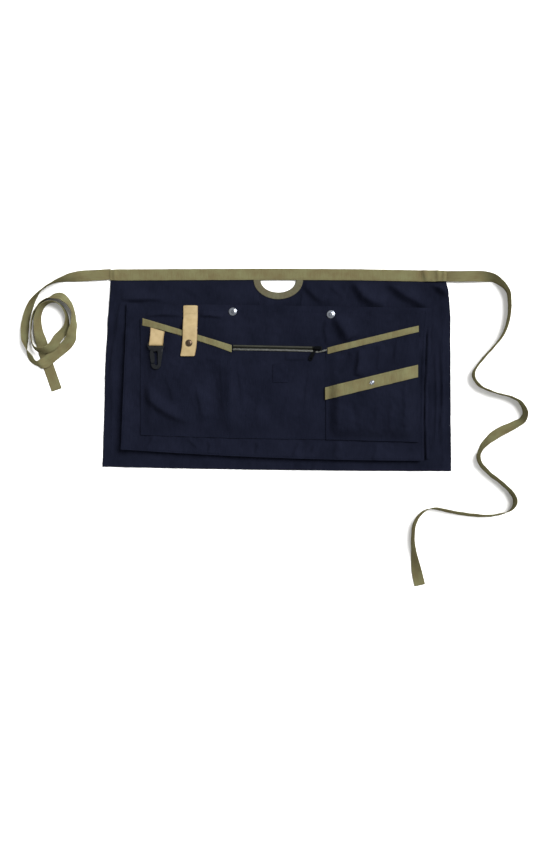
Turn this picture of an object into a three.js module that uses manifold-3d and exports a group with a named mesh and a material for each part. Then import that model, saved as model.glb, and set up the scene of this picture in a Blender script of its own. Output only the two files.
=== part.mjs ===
// A waist apron for gardening, lying flat: canvas skirt, raised pocket panel on bellows sides,
// three front pockets, a tool pocket, tape bindings and ties, leather straps, a snap hook, a zip and snaps.
// Millimetres. X runs along the waist, Y up towards the waistband, Z up from the surface it lies on.
// The origin is on that surface, under the middle of the apron without its ties.
import * as THREE from 'three';
import { mergeVertices } from 'three/addons/utils/BufferGeometryUtils.js';
import Module from 'manifold-3d';

const wasm = await Module();
wasm.setup();

// Wall thicknesses and clearances, and a reach for cuts that go right through
const GAP = 0.3;
const CANVAS = 1.2;
const TAPE = 1.1;
const STRAP_LEATHER = 2;
const LOOP_LEATHER = 1.6;
const THROUGH = 60;

// Levels of the layers above the surface
const TOP_RISE = TAPE + GAP;
const TOP_RISE_FROM = 60;
const TOP_RISE_RUN = 28;
const PANEL_UNDER = 8.5;
const PANEL_TOP = PANEL_UNDER + CANVAS;
const POCKET_PUFF = 6;
const TOOL_PUFF = 5.6;
const COVERED_SHARE = 0.7;
const POCKET_TOP = PANEL_TOP + GAP + POCKET_PUFF + CANVAS;

// Skirt: left and right edges at each height, and the hem that rises at its left end
const SKIRT_EDGES = [
  { y: -191.5, left: -329, right: 329 },
  { y: -100, left: -326, right: 328 },
  { y: 0, left: -325, right: 328 },
  { y: 100, left: -319, right: 327.5 },
  { y: 135, left: -316, right: 325 },
  { y: 164, left: -314.5, right: 320.8 },
  { y: 191, left: -313.5, right: 319 },
];
const HEM_Y = -191.5;
const HEM_LEFT_RISE = 6.3;
const SKIRT_FOLDS = [
  { x0: 138, y0: 156, x1: 196, y1: 134, width: 10, height: 3.4 },
  { x0: 212, y0: 156, x1: 272, y1: 134, width: 10, height: 3.4 },
  { x0: -304, y0: 112, x1: -312, y1: 20, width: 8, height: 2.4 },
  { x0: 311, y0: -40, x1: 313, y1: -135, width: 7, height: 1.6 },
];
const FOLD_FADE = 12;

// Waistband: its lower edge along the waist, and its width
const BAND_WIDTH = 21.5;
const BAND_EDGE = [
  { x: -315.5, y: 169.8 },
  { x: 0, y: 169 },
  { x: 160, y: 168.3 },
  { x: 321.5, y: 166.2 },
];
const BAND_TUCK = 19.6;

// Half-moon towel slot under the band
const SLOT_X = 3.4;
const SLOT_HALF_WIDTH = 33.5;
const SLOT_DEPTH = 24.7;
const SLOT_BINDING_WIDTH = 13.4;

// Raised pocket panel, by its corners, with bowed bottom edge
const PANEL = {
  tl: [-282.7, 122.9], tr: [285, 115.6], bl: [-292, -152.2], br: [278, -173.7], bottomBow: -5, rightBow: -4,
};
const PANEL_FOLDS = [
  { x0: -129, y0: 99, x1: -112, y1: 97, width: 7, height: 2 },
  { x0: 113, y0: 82, x1: 129, y1: 58, width: 8, height: 2.4 },
];
const GUSSET_SEAT = 1.5;
const GUSSET_TUCK = -12.5;
const GUSSET_SPREAD = 11;
const GUSSET_FLOOR_GAP = 0.5;
const GUSSET_FOLD = 3.4;
const GUSSET_LEAF = 0.19;
const RIGHT_GUSSET_START = 0.07;

// Front layer: each pocket between two upright seams, from its bottom seam to its mouth
const LEFT_POCKET = {
  left: -256.3, right: -89.2, bottomLeft: -125.2, bottomRight: -130.8, mouthLeft: 94.7, mouthRight: 44.4,
};
const ZIP_POCKET = {
  left: -88.7, right: 92.7, bottomLeft: -130.8, bottomRight: -133.6, mouthLeft: 33.6, mouthRight: 29.6,
};
const RIGHT_POCKET = {
  left: 93.2, right: 267.5, bottomLeft: -133.6, bottomRight: -138.3, mouthLeft: 37.4, mouthRight: 79.6,
};
const TOOL_POCKET = { ...RIGHT_POCKET, mouthLeft: -36.6, mouthRight: 6 };
const SEAM_RUN = 28;
const BOTTOM_RUN = 45;
const SWELL_FROM = 25;
const SWELL_RUN = 35;
const ZIP_MOUTH_PUFF = 1.6;
const ZIP_BELLY_PUFF = 3.6;
const TOOL_CLEARANCE = 0.6;
const LEFT_POCKET_FOLDS = [
  { x0: -238, y0: -66, x1: -203, y1: -97, width: 12, height: 1.8 },
  { x0: -203, y0: -97, x1: -172, y1: -99, width: 12, height: 1.5 },
  { x0: -215, y0: -22, x1: -192, y1: -50, width: 10, height: 1.5 },
  { x0: -119, y0: -12, x1: -119, y1: -95, width: 9, height: -2 },
];
const RIGHT_POCKET_FOLDS = [
  { x0: 132, y0: 10, x1: 124, y1: -12, width: 9, height: 1.4 },
];
const POCKET_BINDING_WIDTH = 13.2;
const TOOL_BAND_WIDTH = 23.6;
const BINDING_BACK_WIDTH = 9;
const BINDING_FOLD = 1.4;
const MOUTH_LIFT = TAPE + GAP;
const MOUTH_LIFT_FROM = 26;
const MOUTH_LIFT_RUN = 12;

// Zip along the middle pocket's mouth
const ZIP_LEFT = { x: -81.7, y: 38 };
const ZIP_RIGHT = { x: 85, y: 34.2 };
const ZIP_TAPE_WIDTH = 11;
const ZIP_TAPE_THICK = 1;
const CHAIN_WIDTH = 5.6;
const CHAIN_HEIGHT = 2.2;
const CHAIN_CHAMFER = 0.7;
const SLIDER = { x: 77, y: 35.6, length: 15, width: 10, height: 3 };
const BRIDGE = { half: 5.6, width: 3, thick: 1.4, post: 3 };
const PULL = {
  x0: 72.4, y0: 31.6, x1: 63.6, y1: 13.4, width: 7.6, thick: 1.6, neck: 4, shoulder: -2, eye: 1.7,
};

// Leather tool strap, row by row from its bottom end
const STRAP_WIDTH = 28.4;
const STRAP_ROWS = [
  { y: 23.1, x: -166.3, level: 'pocket' },
  { y: 39, x: -163.2, level: 'binding' },
  { y: 57, x: -162.4, level: 'binding' },
  { y: 76, x: -162.3, level: 'binding' },
  { y: 97, x: -162.2, level: 'panel' },
  { y: 118.6, x: -162.2, level: 'panel' },
];

// Leather loop and the snap hook that it carries
const LOOP = { x: -224.5, width: 26, bottom: 42, bottomShift: -1.4, topShift: 1.4 };
const BAR_RADIUS = 1.3;
const HOOK_TILT = THREE.MathUtils.degToRad(2.2);
const HOOK = {
  armOut: 15.8, armIn: 13.6, armTop: 2, eye: -3.9,
  shoulder: -9, shoulderHalf: 13.2, waist: -38, waistHalf: 9.2, tip: -47,
};
const HOOK_SLOT = { x: 0.5, half: 2.9, top: -13, bottom: -40 };
const GATE = {
  x: -8, y: -14, head: 3.1, neck: 2.4, reach: 22, shoulder: 2.6, thick: 2, play: 0.4, intoSlot: 0.5,
};

// Snap fasteners: cap radius and where each sits
const SNAPS = {
  left: { x: -82.5, y: 107.5, cap: 7.6 },
  right: { x: 102.5, y: 102.3, cap: 7.6 },
  strap: { x: -164, y: 47, cap: 6.5 },
  band: { x: 178.1, y: -27, cap: 4.2 },
};
const SNAP_POST = 2;
const SNAP_FLANGE = { share: 0.75, thick: 1 };
const SNAP_STUD_SHARE = 0.7;
const SNAP_DOME = { rim: 0.7, shoulder: 1.6, shoulderShare: 0.65, height: 2 };
const SNAP_SIDES = 12;

// Label patch on the middle pocket
const LABEL = { left: -6.6, right: 21.6, bottom: -26, top: 8, thick: 0.8, clearance: 0.4 };

// Ties: tape width and thickness, and the route of each; lean 0 lies flat and 90 stands on its edge
const TIE_WIDTH = 20;
const TIE_THICK = 1.5;
const TIE_STEPS = 2;
const TIE_LEAN_MOST = 180;
const LEFT_TIE = [
  { x: -315.8, y: 179.5, lean: 180, lift: 1.2 },
  { x: -335, y: 178, lean: 180, lift: 2.6 },
  { x: -354, y: 177, lean: 177, lift: 2 },
  { x: -366, y: 176, lean: 166, lift: 1.2 },
  { x: -377, y: 174.4, lean: 150, lift: 0.6 },
  { x: -388.7, y: 172.2, lean: 133, lift: 0.2 },
  { x: -400, y: 169.4, lean: 112, lift: 0 },
  { x: -411, y: 166.4, lean: 96, lift: 0 },
  { x: -421, y: 162.8, lean: 85, lift: 0 },
  { x: -433.7, y: 156.4, lean: 78, lift: 0 },
  { x: -444.3, y: 148.4, lean: 78, lift: 0 },
  { x: -453, y: 138.8, lean: 88, lift: 0 },
  { x: -460.8, y: 126.6, lean: 101, lift: 0 },
  { x: -467.8, y: 110, lean: 111, lift: 0 },
  { x: -473, y: 91, lean: 115, lift: 0 },
  { x: -475.2, y: 72, lean: 118, lift: 0 },
  { x: -474.8, y: 53, lean: 106, lift: 0 },
  { x: -471.6, y: 36, lean: 76, lift: 0 },
  { x: -465, y: 21.5, lean: 54, lift: 0 },
  { x: -457.5, y: 13, lean: 60, lift: 0.4 },
  { x: -450.5, y: 9.4, lean: 62, lift: 1.6 },
  { x: -443.5, y: 9, lean: 30, lift: 2.6 },
  { x: -436, y: 13, lean: 6, lift: 2.6 },
  { x: -427, y: 21.5, lean: 2, lift: 2.2 },
  { x: -410, y: 35.5, lean: 3, lift: 0.6 },
  { x: -397.5, y: 46.5, lean: 8, lift: 0 },
  { x: -390, y: 57.3, lean: 22, lift: 0 },
  { x: -386.5, y: 68, lean: 48, lift: 0 },
  { x: -383, y: 86, lean: 71, lift: 0 },
  { x: -383.6, y: 105, lean: 87, lift: 0 },
  { x: -389.6, y: 119.7, lean: 76, lift: 0 },
  { x: -398, y: 130, lean: 58, lift: 0 },
  { x: -405, y: 135.8, lean: 49, lift: 0 },
  { x: -413, y: 138, lean: 46, lift: 0 },
  { x: -422, y: 137.2, lean: 56, lift: 0 },
  { x: -430.5, y: 134, lean: 78, lift: 0 },
  { x: -440, y: 128.5, lean: 82, lift: 0 },
  { x: -449, y: 120.5, lean: 80, lift: 0 },
  { x: -457, y: 108, lean: 77, lift: 0 },
  { x: -462, y: 91, lean: 75, lift: 0 },
  { x: -463.2, y: 73, lean: 75, lift: 0 },
  { x: -462.4, y: 57, lean: 76, lift: 0.4 },
  { x: -459.5, y: 45, lean: 73, lift: 3.4 },
  { x: -454, y: 38, lean: 70, lift: 6.2 },
  { x: -445, y: 34.6, lean: 68, lift: 7.2 },
  { x: -431, y: 35.8, lean: 60, lift: 6.6 },
  { x: -420, y: 44.4, lean: 52, lift: 5.4 },
  { x: -411.8, y: 57.2, lean: 52, lift: 5.4 },
  { x: -404.2, y: 66.8, lean: 60, lift: 2.2 },
  { x: -398, y: 76, lean: 70, lift: 0 },
  { x: -395.2, y: 88, lean: 82, lift: 0 },
  { x: -396, y: 100, lean: 88, lift: 0 },
  { x: -400, y: 110.5, lean: 89, lift: 0 },
  { x: -406.5, y: 119, lean: 89, lift: 0 },
  { x: -415, y: 125, lean: 90, lift: 0 },
  { x: -424.5, y: 126.5, lean: 91, lift: 0 },
  { x: -433.5, y: 124.5, lean: 94, lift: 0 },
  { x: -441, y: 119, lean: 99, lift: 0 },
  { x: -447, y: 110, lean: 106, lift: 0 },
  { x: -450.5, y: 98, lean: 113, lift: 0 },
  { x: -451, y: 84, lean: 120, lift: 0 },
  { x: -449, y: 68, lean: 132, lift: 0 },
  { x: -446.5, y: 55, lean: 158, lift: 0 },
  { x: -444.5, y: 45, lean: 176, lift: 0 },
  { x: -440.5, y: 28, lean: 180, lift: 0 },
  { x: -434, y: 8, lean: 180, lift: 0 },
  { x: -426, y: -15, lean: 180, lift: 0 },
  { x: -417.5, y: -39.5, lean: 180, lift: 0 },
];
const RIGHT_TIE = [
  { x: 321.8, y: 176.5, lean: 0, lift: 1.2 },
  { x: 348, y: 175, lean: 0, lift: 5.5 },
  { x: 377, y: 175.4, lean: 3, lift: 4.5 },
  { x: 396, y: 174.2, lean: 28, lift: 0.8 },
  { x: 411.4, y: 170.5, lean: 56, lift: 0 },
  { x: 423, y: 162.7, lean: 71, lift: 0 },
  { x: 432.4, y: 153.8, lean: 83, lift: 0 },
  { x: 438.2, y: 143, lean: 88, lift: 0 },
  { x: 440, y: 128, lean: 90, lift: 0 },
  { x: 439.8, y: 107, lean: 90, lift: 0 },
  { x: 436, y: 85, lean: 90, lift: 0 },
  { x: 427, y: 63, lean: 90, lift: 0 },
  { x: 414, y: 46, lean: 90, lift: 0 },
  { x: 397, y: 27, lean: 90, lift: 0 },
  { x: 381, y: 8, lean: 90, lift: 0 },
  { x: 372.5, y: -7, lean: 90, lift: 0 },
  { x: 373.5, y: -19.5, lean: 90, lift: 0 },
  { x: 384, y: -32, lean: 90, lift: 0 },
  { x: 403, y: -42, lean: 90, lift: 0 },
  { x: 429, y: -49.5, lean: 90, lift: 0 },
  { x: 451, y: -56.5, lean: 90, lift: 0 },
  { x: 464, y: -68, lean: 88, lift: 0 },
  { x: 470, y: -84, lean: 80, lift: 0 },
  { x: 464, y: -97, lean: 64, lift: 0 },
  { x: 450, y: -106, lean: 50, lift: 0 },
  { x: 431, y: -115, lean: 42, lift: 0 },
  { x: 412, y: -126, lean: 46, lift: 0 },
  { x: 397, y: -138.5, lean: 62, lift: 0 },
  { x: 385.5, y: -153, lean: 80, lift: 0 },
  { x: 381.5, y: -168, lean: 84, lift: 0 },
  { x: 388.5, y: -184, lean: 80, lift: 0 },
  { x: 404.5, y: -200, lean: 79, lift: 0 },
  { x: 422.5, y: -214, lean: 79, lift: 0 },
  { x: 438.5, y: -228, lean: 80, lift: 0 },
  { x: 449, y: -243, lean: 83, lift: 0 },
  { x: 449.5, y: -257, lean: 88, lift: 0 },
  { x: 439.5, y: -269, lean: 98, lift: 0 },
  { x: 418, y: -275.5, lean: 106, lift: 0 },
  { x: 393, y: -278, lean: 109, lift: 0 },
  { x: 362, y: -275.5, lean: 110, lift: 0 },
  { x: 336, y: -271.5, lean: 109, lift: 0 },
  { x: 313.5, y: -266.5, lean: 107, lift: 0 },
  { x: 295.5, y: -263.5, lean: 102, lift: 0 },
  { x: 279.5, y: -268.5, lean: 94, lift: 0 },
  { x: 267, y: -280.5, lean: 88, lift: 0 },
  { x: 259.5, y: -297.5, lean: 84, lift: 0 },
  { x: 257.5, y: -321, lean: 82, lift: 0 },
  { x: 259, y: -343, lean: 72, lift: 0 },
  { x: 262, y: -364, lean: 52, lift: 0 },
  { x: 266, y: -386, lean: 26, lift: 0 },
  { x: 272, y: -410.5, lean: 6, lift: 0 },
];

// Small helpers for numbers and tables
const { clamp, lerp, degToRad } = THREE.MathUtils;
const unit = (t) => clamp(t, 0, 1);
const smooth = (t) => unit(t) ** 2 * (3 - 2 * unit(t));
const steps = (count) => Array.from({ length: count + 1 }, (_, i) => i / count);
const coarseThenFine = (coarse, fine, split) => [
  ...steps(coarse).map((t) => t * split),
  ...steps(fine).slice(1).map((t) => split + t * (1 - split)),
];

// Column `key` of a table sorted by column `by`, straight between its rows.
function look(table, by, key, at) {
  const last = table.length - 2;
  const found = table.findIndex((row) => row[by] > at) - 1;
  const low = found < -1 ? last : clamp(found, 0, last);
  const [a, b] = [table[low], table[low + 1]];
  return lerp(a[key], b[key], unit((at - a[by]) / (b[by] - a[by])));
}

// Height added by soft ridges, each a rounded wave along a straight line.
function foldHeight(folds, x, y) {
  return folds.reduce((sum, { x0, y0, x1, y1, width, height }) => {
    const [dx, dy] = [x1 - x0, y1 - y0];
    const along = unit(((x - x0) * dx + (y - y0) * dy) / (dx * dx + dy * dy));
    const away = Math.hypot(x - x0 - along * dx, y - y0 - along * dy);
    return sum + height * Math.exp(-((away / width) ** 2));
  }, 0);
}

// Closed bodies from points and triangles, with faces turned outward.
function closedBody(points, triangles) {
  const geometry = new THREE.BufferGeometry();
  const numbers = points.flatMap((p) => [p.x, p.y, p.z]);
  geometry.setAttribute('position', new THREE.Float32BufferAttribute(numbers, 3));
  const signedVolume = ([a, b, c]) => points[a].dot(points[b].clone().cross(points[c]));
  const insideOut = triangles.reduce((sum, triangle) => sum + signedVolume(triangle), 0) < 0;
  geometry.setIndex(triangles.flatMap(([a, b, c]) => (insideOut ? [a, c, b] : [a, b, c])));
  geometry.computeVertexNormals();
  return geometry;
}

// A cloth wall: a grid of underside points and the same grid raised by the wall's thickness.
function wall(us, vs, under, thickness) {
  const floor = vs.flatMap((v) => us.map((u) => under(u, v)));
  const points = [...floor, ...floor.map((p) => new THREE.Vector3(p.x, p.y, p.z + thickness))];
  const [across, layer] = [us.length, floor.length];
  const triangles = [];
  const quad = (a, b, c, d) => triangles.push([a, b, c], [a, c, d]);
  for (let j = 0; j < vs.length - 1; j += 1) {
    for (let i = 0; i < across - 1; i += 1) {
      const a = j * across + i;
      quad(a, a + across, a + across + 1, a + 1);
      quad(layer + a, layer + a + 1, layer + a + across + 1, layer + a + across);
    }
  }
  const rim = [];
  for (let i = 0; i < across - 1; i += 1) rim.push(i);
  for (let j = 0; j < vs.length - 1; j += 1) rim.push(j * across + across - 1);
  for (let i = across - 1; i > 0; i -= 1) rim.push(layer - across + i);
  for (let j = vs.length - 1; j > 0; j -= 1) rim.push(j * across);
  rim.forEach((a, k) => {
    const b = rim[(k + 1) % rim.length];
    quad(a, b, layer + b, layer + a);
  });
  return closedBody(points, triangles);
}

// A closed section of [across, height] points carried through stations and capped at both ends.
function sweep(section, stations, place) {
  const ring = section.length;
  const ringAt = (station) => section.map(([across, height]) => place(station, across, height));
  const points = stations.flatMap(ringAt);
  const triangles = [];
  for (let k = 0; k < stations.length - 1; k += 1) {
    for (let i = 0; i < ring; i += 1) {
      const [a, b] = [k * ring + i, k * ring + ((i + 1) % ring)];
      triangles.push([a, b, b + ring], [a, b + ring, a + ring]);
    }
  }
  const outline = section.map(([across, height]) => new THREE.Vector2(across, height));
  const turn = THREE.ShapeUtils.isClockWise(outline) ? -1 : 1;
  const end = (stations.length - 1) * ring;
  THREE.ShapeUtils.triangulateShape(outline, []).forEach((face) => {
    const corner = face.map((i) => outline[i]);
    const clockwise = THREE.ShapeUtils.isClockWise(corner) ? -1 : 1;
    const [a, b, c] = clockwise === turn ? face : [face[0], face[2], face[1]];
    triangles.push([a, c, b], [end + a, end + b, end + c]);
  });
  return closedBody(points, triangles);
}

// Boolean joins and cuts
function toSolid(geometry) {
  const bare = new THREE.BufferGeometry();
  bare.setAttribute('position', geometry.getAttribute('position').clone());
  bare.setIndex(geometry.index ? geometry.index.clone() : null);
  const merged = mergeVertices(bare);
  return new wasm.Manifold(new wasm.Mesh({
    numProp: 3,
    vertProperties: new Float32Array(merged.getAttribute('position').array),
    triVerts: new Uint32Array(merged.index.array),
  }));
}

function toGeometry(solid) {
  const mesh = solid.getMesh();
  const geometry = new THREE.BufferGeometry();
  geometry.setAttribute('position', new THREE.BufferAttribute(mesh.vertProperties, 3));
  geometry.setIndex(new THREE.BufferAttribute(mesh.triVerts, 1));
  geometry.computeVertexNormals();
  return geometry;
}

// An upright round bar, and a flat plate cut to a shape, as solids.
function rod(radius, x, y, low, high, sides = 12) {
  const bar = new THREE.CylinderGeometry(radius, radius, high - low, sides);
  return toSolid(bar.rotateX(Math.PI / 2).translate(x, y, (low + high) / 2));
}

function plate(shape, low, high, curveSegments = 10) {
  const flat = new THREE.ExtrudeGeometry(shape, { depth: high - low, bevelEnabled: false, curveSegments });
  return toSolid(flat.translate(0, 0, low));
}

function polygon(corners) {
  return new THREE.Shape(corners.map(([x, y]) => new THREE.Vector2(x, y)));
}

const box = (left, low, right, high) => polygon([[left, low], [right, low], [right, high], [left, high]]);

// Holes for a snap's post, with clearance all round.
function drilled(geometry, snaps) {
  const holes = snaps.map(({ x, y }) => rod(SNAP_POST + GAP, x, y, -THROUGH, THROUGH));
  return toGeometry(holes.reduce((solid, hole) => solid.subtract(hole), toSolid(geometry)));
}

// Heights of each layer at a point of the plan
const bandEdge = (x) => look(BAND_EDGE, 'x', 'y', x);

function skirtUnder(x, y) {
  const fade = unit((bandEdge(x) - y) / FOLD_FADE);
  return TOP_RISE * unit((y - TOP_RISE_FROM) / TOP_RISE_RUN) + fade * foldHeight(SKIRT_FOLDS, x, y);
}

const panelUnder = (x, y) => PANEL_UNDER + foldHeight(PANEL_FOLDS, x, y);

const seamRise = (pocket, x) => smooth((x - pocket.left) / SEAM_RUN) * smooth((pocket.right - x) / SEAM_RUN);
const edgeY = (pocket, edge, x) => {
  const along = (x - pocket.left) / (pocket.right - pocket.left);
  return lerp(pocket[`${edge}Left`], pocket[`${edge}Right`], along);
};
const bottomRise = (pocket, x, y) => smooth((y - edgeY(pocket, 'bottom', x)) / BOTTOM_RUN);
const toolMouthY = (x) => edgeY(TOOL_POCKET, 'mouth', x);

// Puff of a pocket's front, sewn down at its seams and lifted there by the tape's back leaf near the mouth
function pocketLift(pocket, puff, x, y) {
  const fromMouth = edgeY(pocket, 'mouth', x) - y;
  const seamLift = MOUTH_LIFT * unit((MOUTH_LIFT_FROM - fromMouth) / MOUTH_LIFT_RUN);
  return lerp(seamLift, puff * bottomRise(pocket, x, y), seamRise(pocket, x));
}

function leftPocketUnder(x, y) {
  const puff = POCKET_PUFF + foldHeight(LEFT_POCKET_FOLDS, x, y);
  return PANEL_TOP + GAP + pocketLift(LEFT_POCKET, puff, x, y);
}

function zipPocketUnder(x, y) {
  const fromMouth = edgeY(ZIP_POCKET, 'mouth', x) - y;
  const puff = lerp(ZIP_MOUTH_PUFF, ZIP_BELLY_PUFF, smooth(fromMouth / BOTTOM_RUN));
  return PANEL_TOP + GAP + puff * seamRise(ZIP_POCKET, x) * bottomRise(ZIP_POCKET, x, y);
}

function rightPocketUnder(x, y) {
  const swell = smooth((y - toolMouthY(x) - SWELL_FROM) / SWELL_RUN);
  const puff = POCKET_PUFF * lerp(COVERED_SHARE, 1, swell) + foldHeight(RIGHT_POCKET_FOLDS, x, y);
  return PANEL_TOP + GAP + pocketLift(RIGHT_POCKET, puff, x, y);
}

function toolPocketUnder(x, y) {
  return rightPocketUnder(x, y) + CANVAS + TOOL_CLEARANCE + pocketLift(TOOL_POCKET, TOOL_PUFF, x, y);
}

// The skirt
function backPanel() {
  const under = (u, v) => {
    const hem = HEM_Y + HEM_LEFT_RISE * (1 - u) ** 2;
    const roughX = lerp(SKIRT_EDGES[0].left, SKIRT_EDGES[0].right, u);
    const y = lerp(hem, bandEdge(roughX) + BAND_TUCK, v);
    const x = lerp(look(SKIRT_EDGES, 'y', 'left', y), look(SKIRT_EDGES, 'y', 'right', y), u);
    return new THREE.Vector3(x, y, skirtUnder(x, y));
  };
  const cloth = wall(coarseThenFine(11, 18, 0.64), coarseThenFine(5, 11, 0.66), under, CANVAS);
  return drilled(toGeometry(toSolid(cloth).subtract(slotCut())), [SNAPS.left, SNAPS.right]);
}

// The half-moon cut, clear of the folded binding's edge
function slotCut() {
  const grow = BINDING_FOLD;
  const top = bandEdge(SLOT_X) - GAP;
  const arc = steps(24).map((t) => {
    const angle = Math.PI + t * Math.PI;
    return [SLOT_X + (SLOT_HALF_WIDTH + grow) * Math.cos(angle), top + (SLOT_DEPTH + grow) * Math.sin(angle)];
  });
  const right = SLOT_X + SLOT_HALF_WIDTH + grow;
  const left = SLOT_X - SLOT_HALF_WIDTH - grow;
  return plate(polygon([...arc, [right, top + BAND_WIDTH], [left, top + BAND_WIDTH]]), -THROUGH, THROUGH);
}

// A strip folded over a cloth edge: front leaf, fold and back leaf round the cloth between.
function foldedSection(frontWidth, backWidth, fold) {
  const [inLow, inHigh] = [-GAP, CANVAS + GAP];
  const [outLow, outHigh] = [inLow - TAPE, inHigh + TAPE];
  return [
    [-frontWidth, inHigh], [-frontWidth, outHigh], [fold, outHigh], [fold, outLow],
    [-backWidth, outLow], [-backWidth, inLow], [fold - TAPE, inLow], [fold - TAPE, inHigh],
  ];
}

function waistband() {
  const leaf = BAND_WIDTH - BINDING_FOLD;
  const section = foldedSection(leaf, leaf, BINDING_FOLD);
  const xs = steps(14).map((t) => lerp(BAND_EDGE[0].x, BAND_EDGE[BAND_EDGE.length - 1].x, t));
  const place = (x, across, height) => {
    return new THREE.Vector3(x, bandEdge(x) + leaf + across, TOP_RISE + height);
  };
  return sweep(section, xs, place);
}

function cutoutBinding() {
  const leaf = SLOT_BINDING_WIDTH - BINDING_FOLD;
  const section = foldedSection(leaf, leaf, BINDING_FOLD);
  const top = bandEdge(SLOT_X) - GAP;
  const place = (t, across, height) => {
    const angle = Math.PI + t * Math.PI;
    const outward = BINDING_FOLD - across;
    const x = SLOT_X + (SLOT_HALF_WIDTH + outward) * Math.cos(angle);
    const y = top + (SLOT_DEPTH + outward) * Math.sin(angle);
    return new THREE.Vector3(x, y, TOP_RISE + height);
  };
  return sweep(section, steps(24), place);
}

// The raised panel and its bellows sides
function panelPoint(u, v) {
  const bow = (amount, t) => amount * 4 * t * (1 - t);
  const x = lerp(lerp(PANEL.bl[0], PANEL.br[0], u), lerp(PANEL.tl[0], PANEL.tr[0], u), v);
  const y = lerp(lerp(PANEL.bl[1], PANEL.br[1], u), lerp(PANEL.tl[1], PANEL.tr[1], u), v);
  return new THREE.Vector2(x + u * bow(PANEL.rightBow, v), y + (1 - v) * bow(PANEL.bottomBow, u));
}

function pocketPanel() {
  const under = (u, v) => {
    const { x, y } = panelPoint(u, v);
    return new THREE.Vector3(x, y, panelUnder(x, y));
  };
  return drilled(wall(steps(27), coarseThenFine(3, 8, 0.6), under, CANVAS), [SNAPS.left, SNAPS.right]);
}

// A V-folded strip along a path of [u, v] points on the panel's rim, its fold at `tip` outward from the rim.
function gussetStrip(rim, tip) {
  const path = rim.map(([u, v]) => panelPoint(u, v));
  const side = (a, b) => new THREE.Vector2(b.y - a.y, a.x - b.x).normalize();
  const outward = path.map((point, i) => {
    const before = i > 0 ? side(path[i - 1], point) : side(point, path[i + 1]);
    const after = i < path.length - 1 ? side(point, path[i + 1]) : before;
    const mitre = before.clone().add(after);
    return mitre.multiplyScalar(2 / mitre.lengthSq());
  });
  const inner = tip - Math.sign(tip) * GUSSET_FOLD;
  const section = [
    [-GUSSET_SEAT, 1], [tip, 0.5], [-GUSSET_SEAT, 0],
    [-GUSSET_SEAT, GUSSET_LEAF], [inner, 0.5], [-GUSSET_SEAT, 1 - GUSSET_LEAF],
  ];
  const place = (i, across, height) => {
    const spot = path[i].clone().addScaledVector(outward[i], across);
    const low = skirtUnder(spot.x, spot.y) + CANVAS + GUSSET_FLOOR_GAP;
    return new THREE.Vector3(spot.x, spot.y, lerp(low, PANEL_UNDER - GAP, height));
  };
  return sweep(section, path.map((_, i) => i), place);
}

function pocketGusset() {
  const leftSide = steps(8).map((t) => [0, 1 - t]);
  const bottomSide = steps(12).slice(1).map((t) => [t, 0]);
  return gussetStrip([...leftSide, ...bottomSide], GUSSET_TUCK);
}

function rightGusset() {
  return gussetStrip(steps(8).map((t) => [1, lerp(RIGHT_GUSSET_START, 1, t)]), GUSSET_SPREAD);
}

// Front pockets and the tapes on their mouths
const POCKET_COLUMNS = [0, 0.055, 0.11, 0.17, 0.26, 0.38, 0.5, 0.62, 0.74, 0.83, 0.89, 0.945, 1];

function pocketPoint(pocket, under, u, v) {
  const x = lerp(pocket.left, pocket.right, u);
  const y = lerp(edgeY(pocket, 'bottom', x), edgeY(pocket, 'mouth', x), v);
  return new THREE.Vector3(x, y, under(x, y));
}

function pocketFront(pocket, under, rows) {
  return wall(POCKET_COLUMNS, rows, (u, v) => pocketPoint(pocket, under, u, v), CANVAS);
}

const POCKET_ROWS = [0, 0.05, 0.1, 0.16, 0.23, 0.34, 0.45, 0.56, 0.67, 0.77, 0.85, 0.93, 1];
const TOOL_ROWS = [0, 0.07, 0.14, 0.21, 0.3, 0.42, 0.6, 0.78, 0.89, 1];

// How far a mouth's tape reaches down from the cloth edge, measured upright on its slanting mouth
function bindingDrop(pocket, frontWidth) {
  const slope = Math.atan2(pocket.mouthRight - pocket.mouthLeft, pocket.right - pocket.left);
  return (frontWidth - BINDING_FOLD) / Math.cos(slope);
}

function mouthBinding(pocket, under, frontWidth) {
  const section = foldedSection(bindingDrop(pocket, frontWidth), BINDING_BACK_WIDTH, BINDING_FOLD);
  const place = (u, across, height) => {
    const edge = pocketPoint(pocket, under, u, 1);
    return new THREE.Vector3(edge.x, edge.y + across, edge.z + height);
  };
  return sweep(section, POCKET_COLUMNS, place);
}

// The zip: tape, chain of teeth, slider and pull
const zipY = (x) => lerp(ZIP_LEFT.y, ZIP_RIGHT.y, (x - ZIP_LEFT.x) / (ZIP_RIGHT.x - ZIP_LEFT.x));
const ZIP_FLOOR = PANEL_TOP + GAP;
const CHAIN_FLOOR = ZIP_FLOOR + ZIP_TAPE_THICK + GAP;

function zipTape() {
  const under = (u, v) => {
    const x = lerp(ZIP_LEFT.x, ZIP_RIGHT.x, u);
    const low = edgeY(ZIP_POCKET, 'mouth', x) + GAP;
    return new THREE.Vector3(x, low + v * ZIP_TAPE_WIDTH, ZIP_FLOOR);
  };
  return wall(steps(4), [0, 1], under, ZIP_TAPE_THICK);
}

function zipChain() {
  const half = CHAIN_WIDTH / 2;
  const [side, top] = [CHAIN_HEIGHT - CHAIN_CHAMFER, half - CHAIN_CHAMFER];
  const section = [
    [-half, 0], [half, 0], [half, side], [top, CHAIN_HEIGHT], [-top, CHAIN_HEIGHT], [-half, side],
  ];
  const end = SLIDER.x - SLIDER.length / 2 - GAP;
  const xs = steps(4).map((t) => lerp(ZIP_LEFT.x, end, t));
  const place = (x, across, height) => new THREE.Vector3(x, zipY(x) + across, CHAIN_FLOOR + height);
  return sweep(section, xs, place);
}

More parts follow.
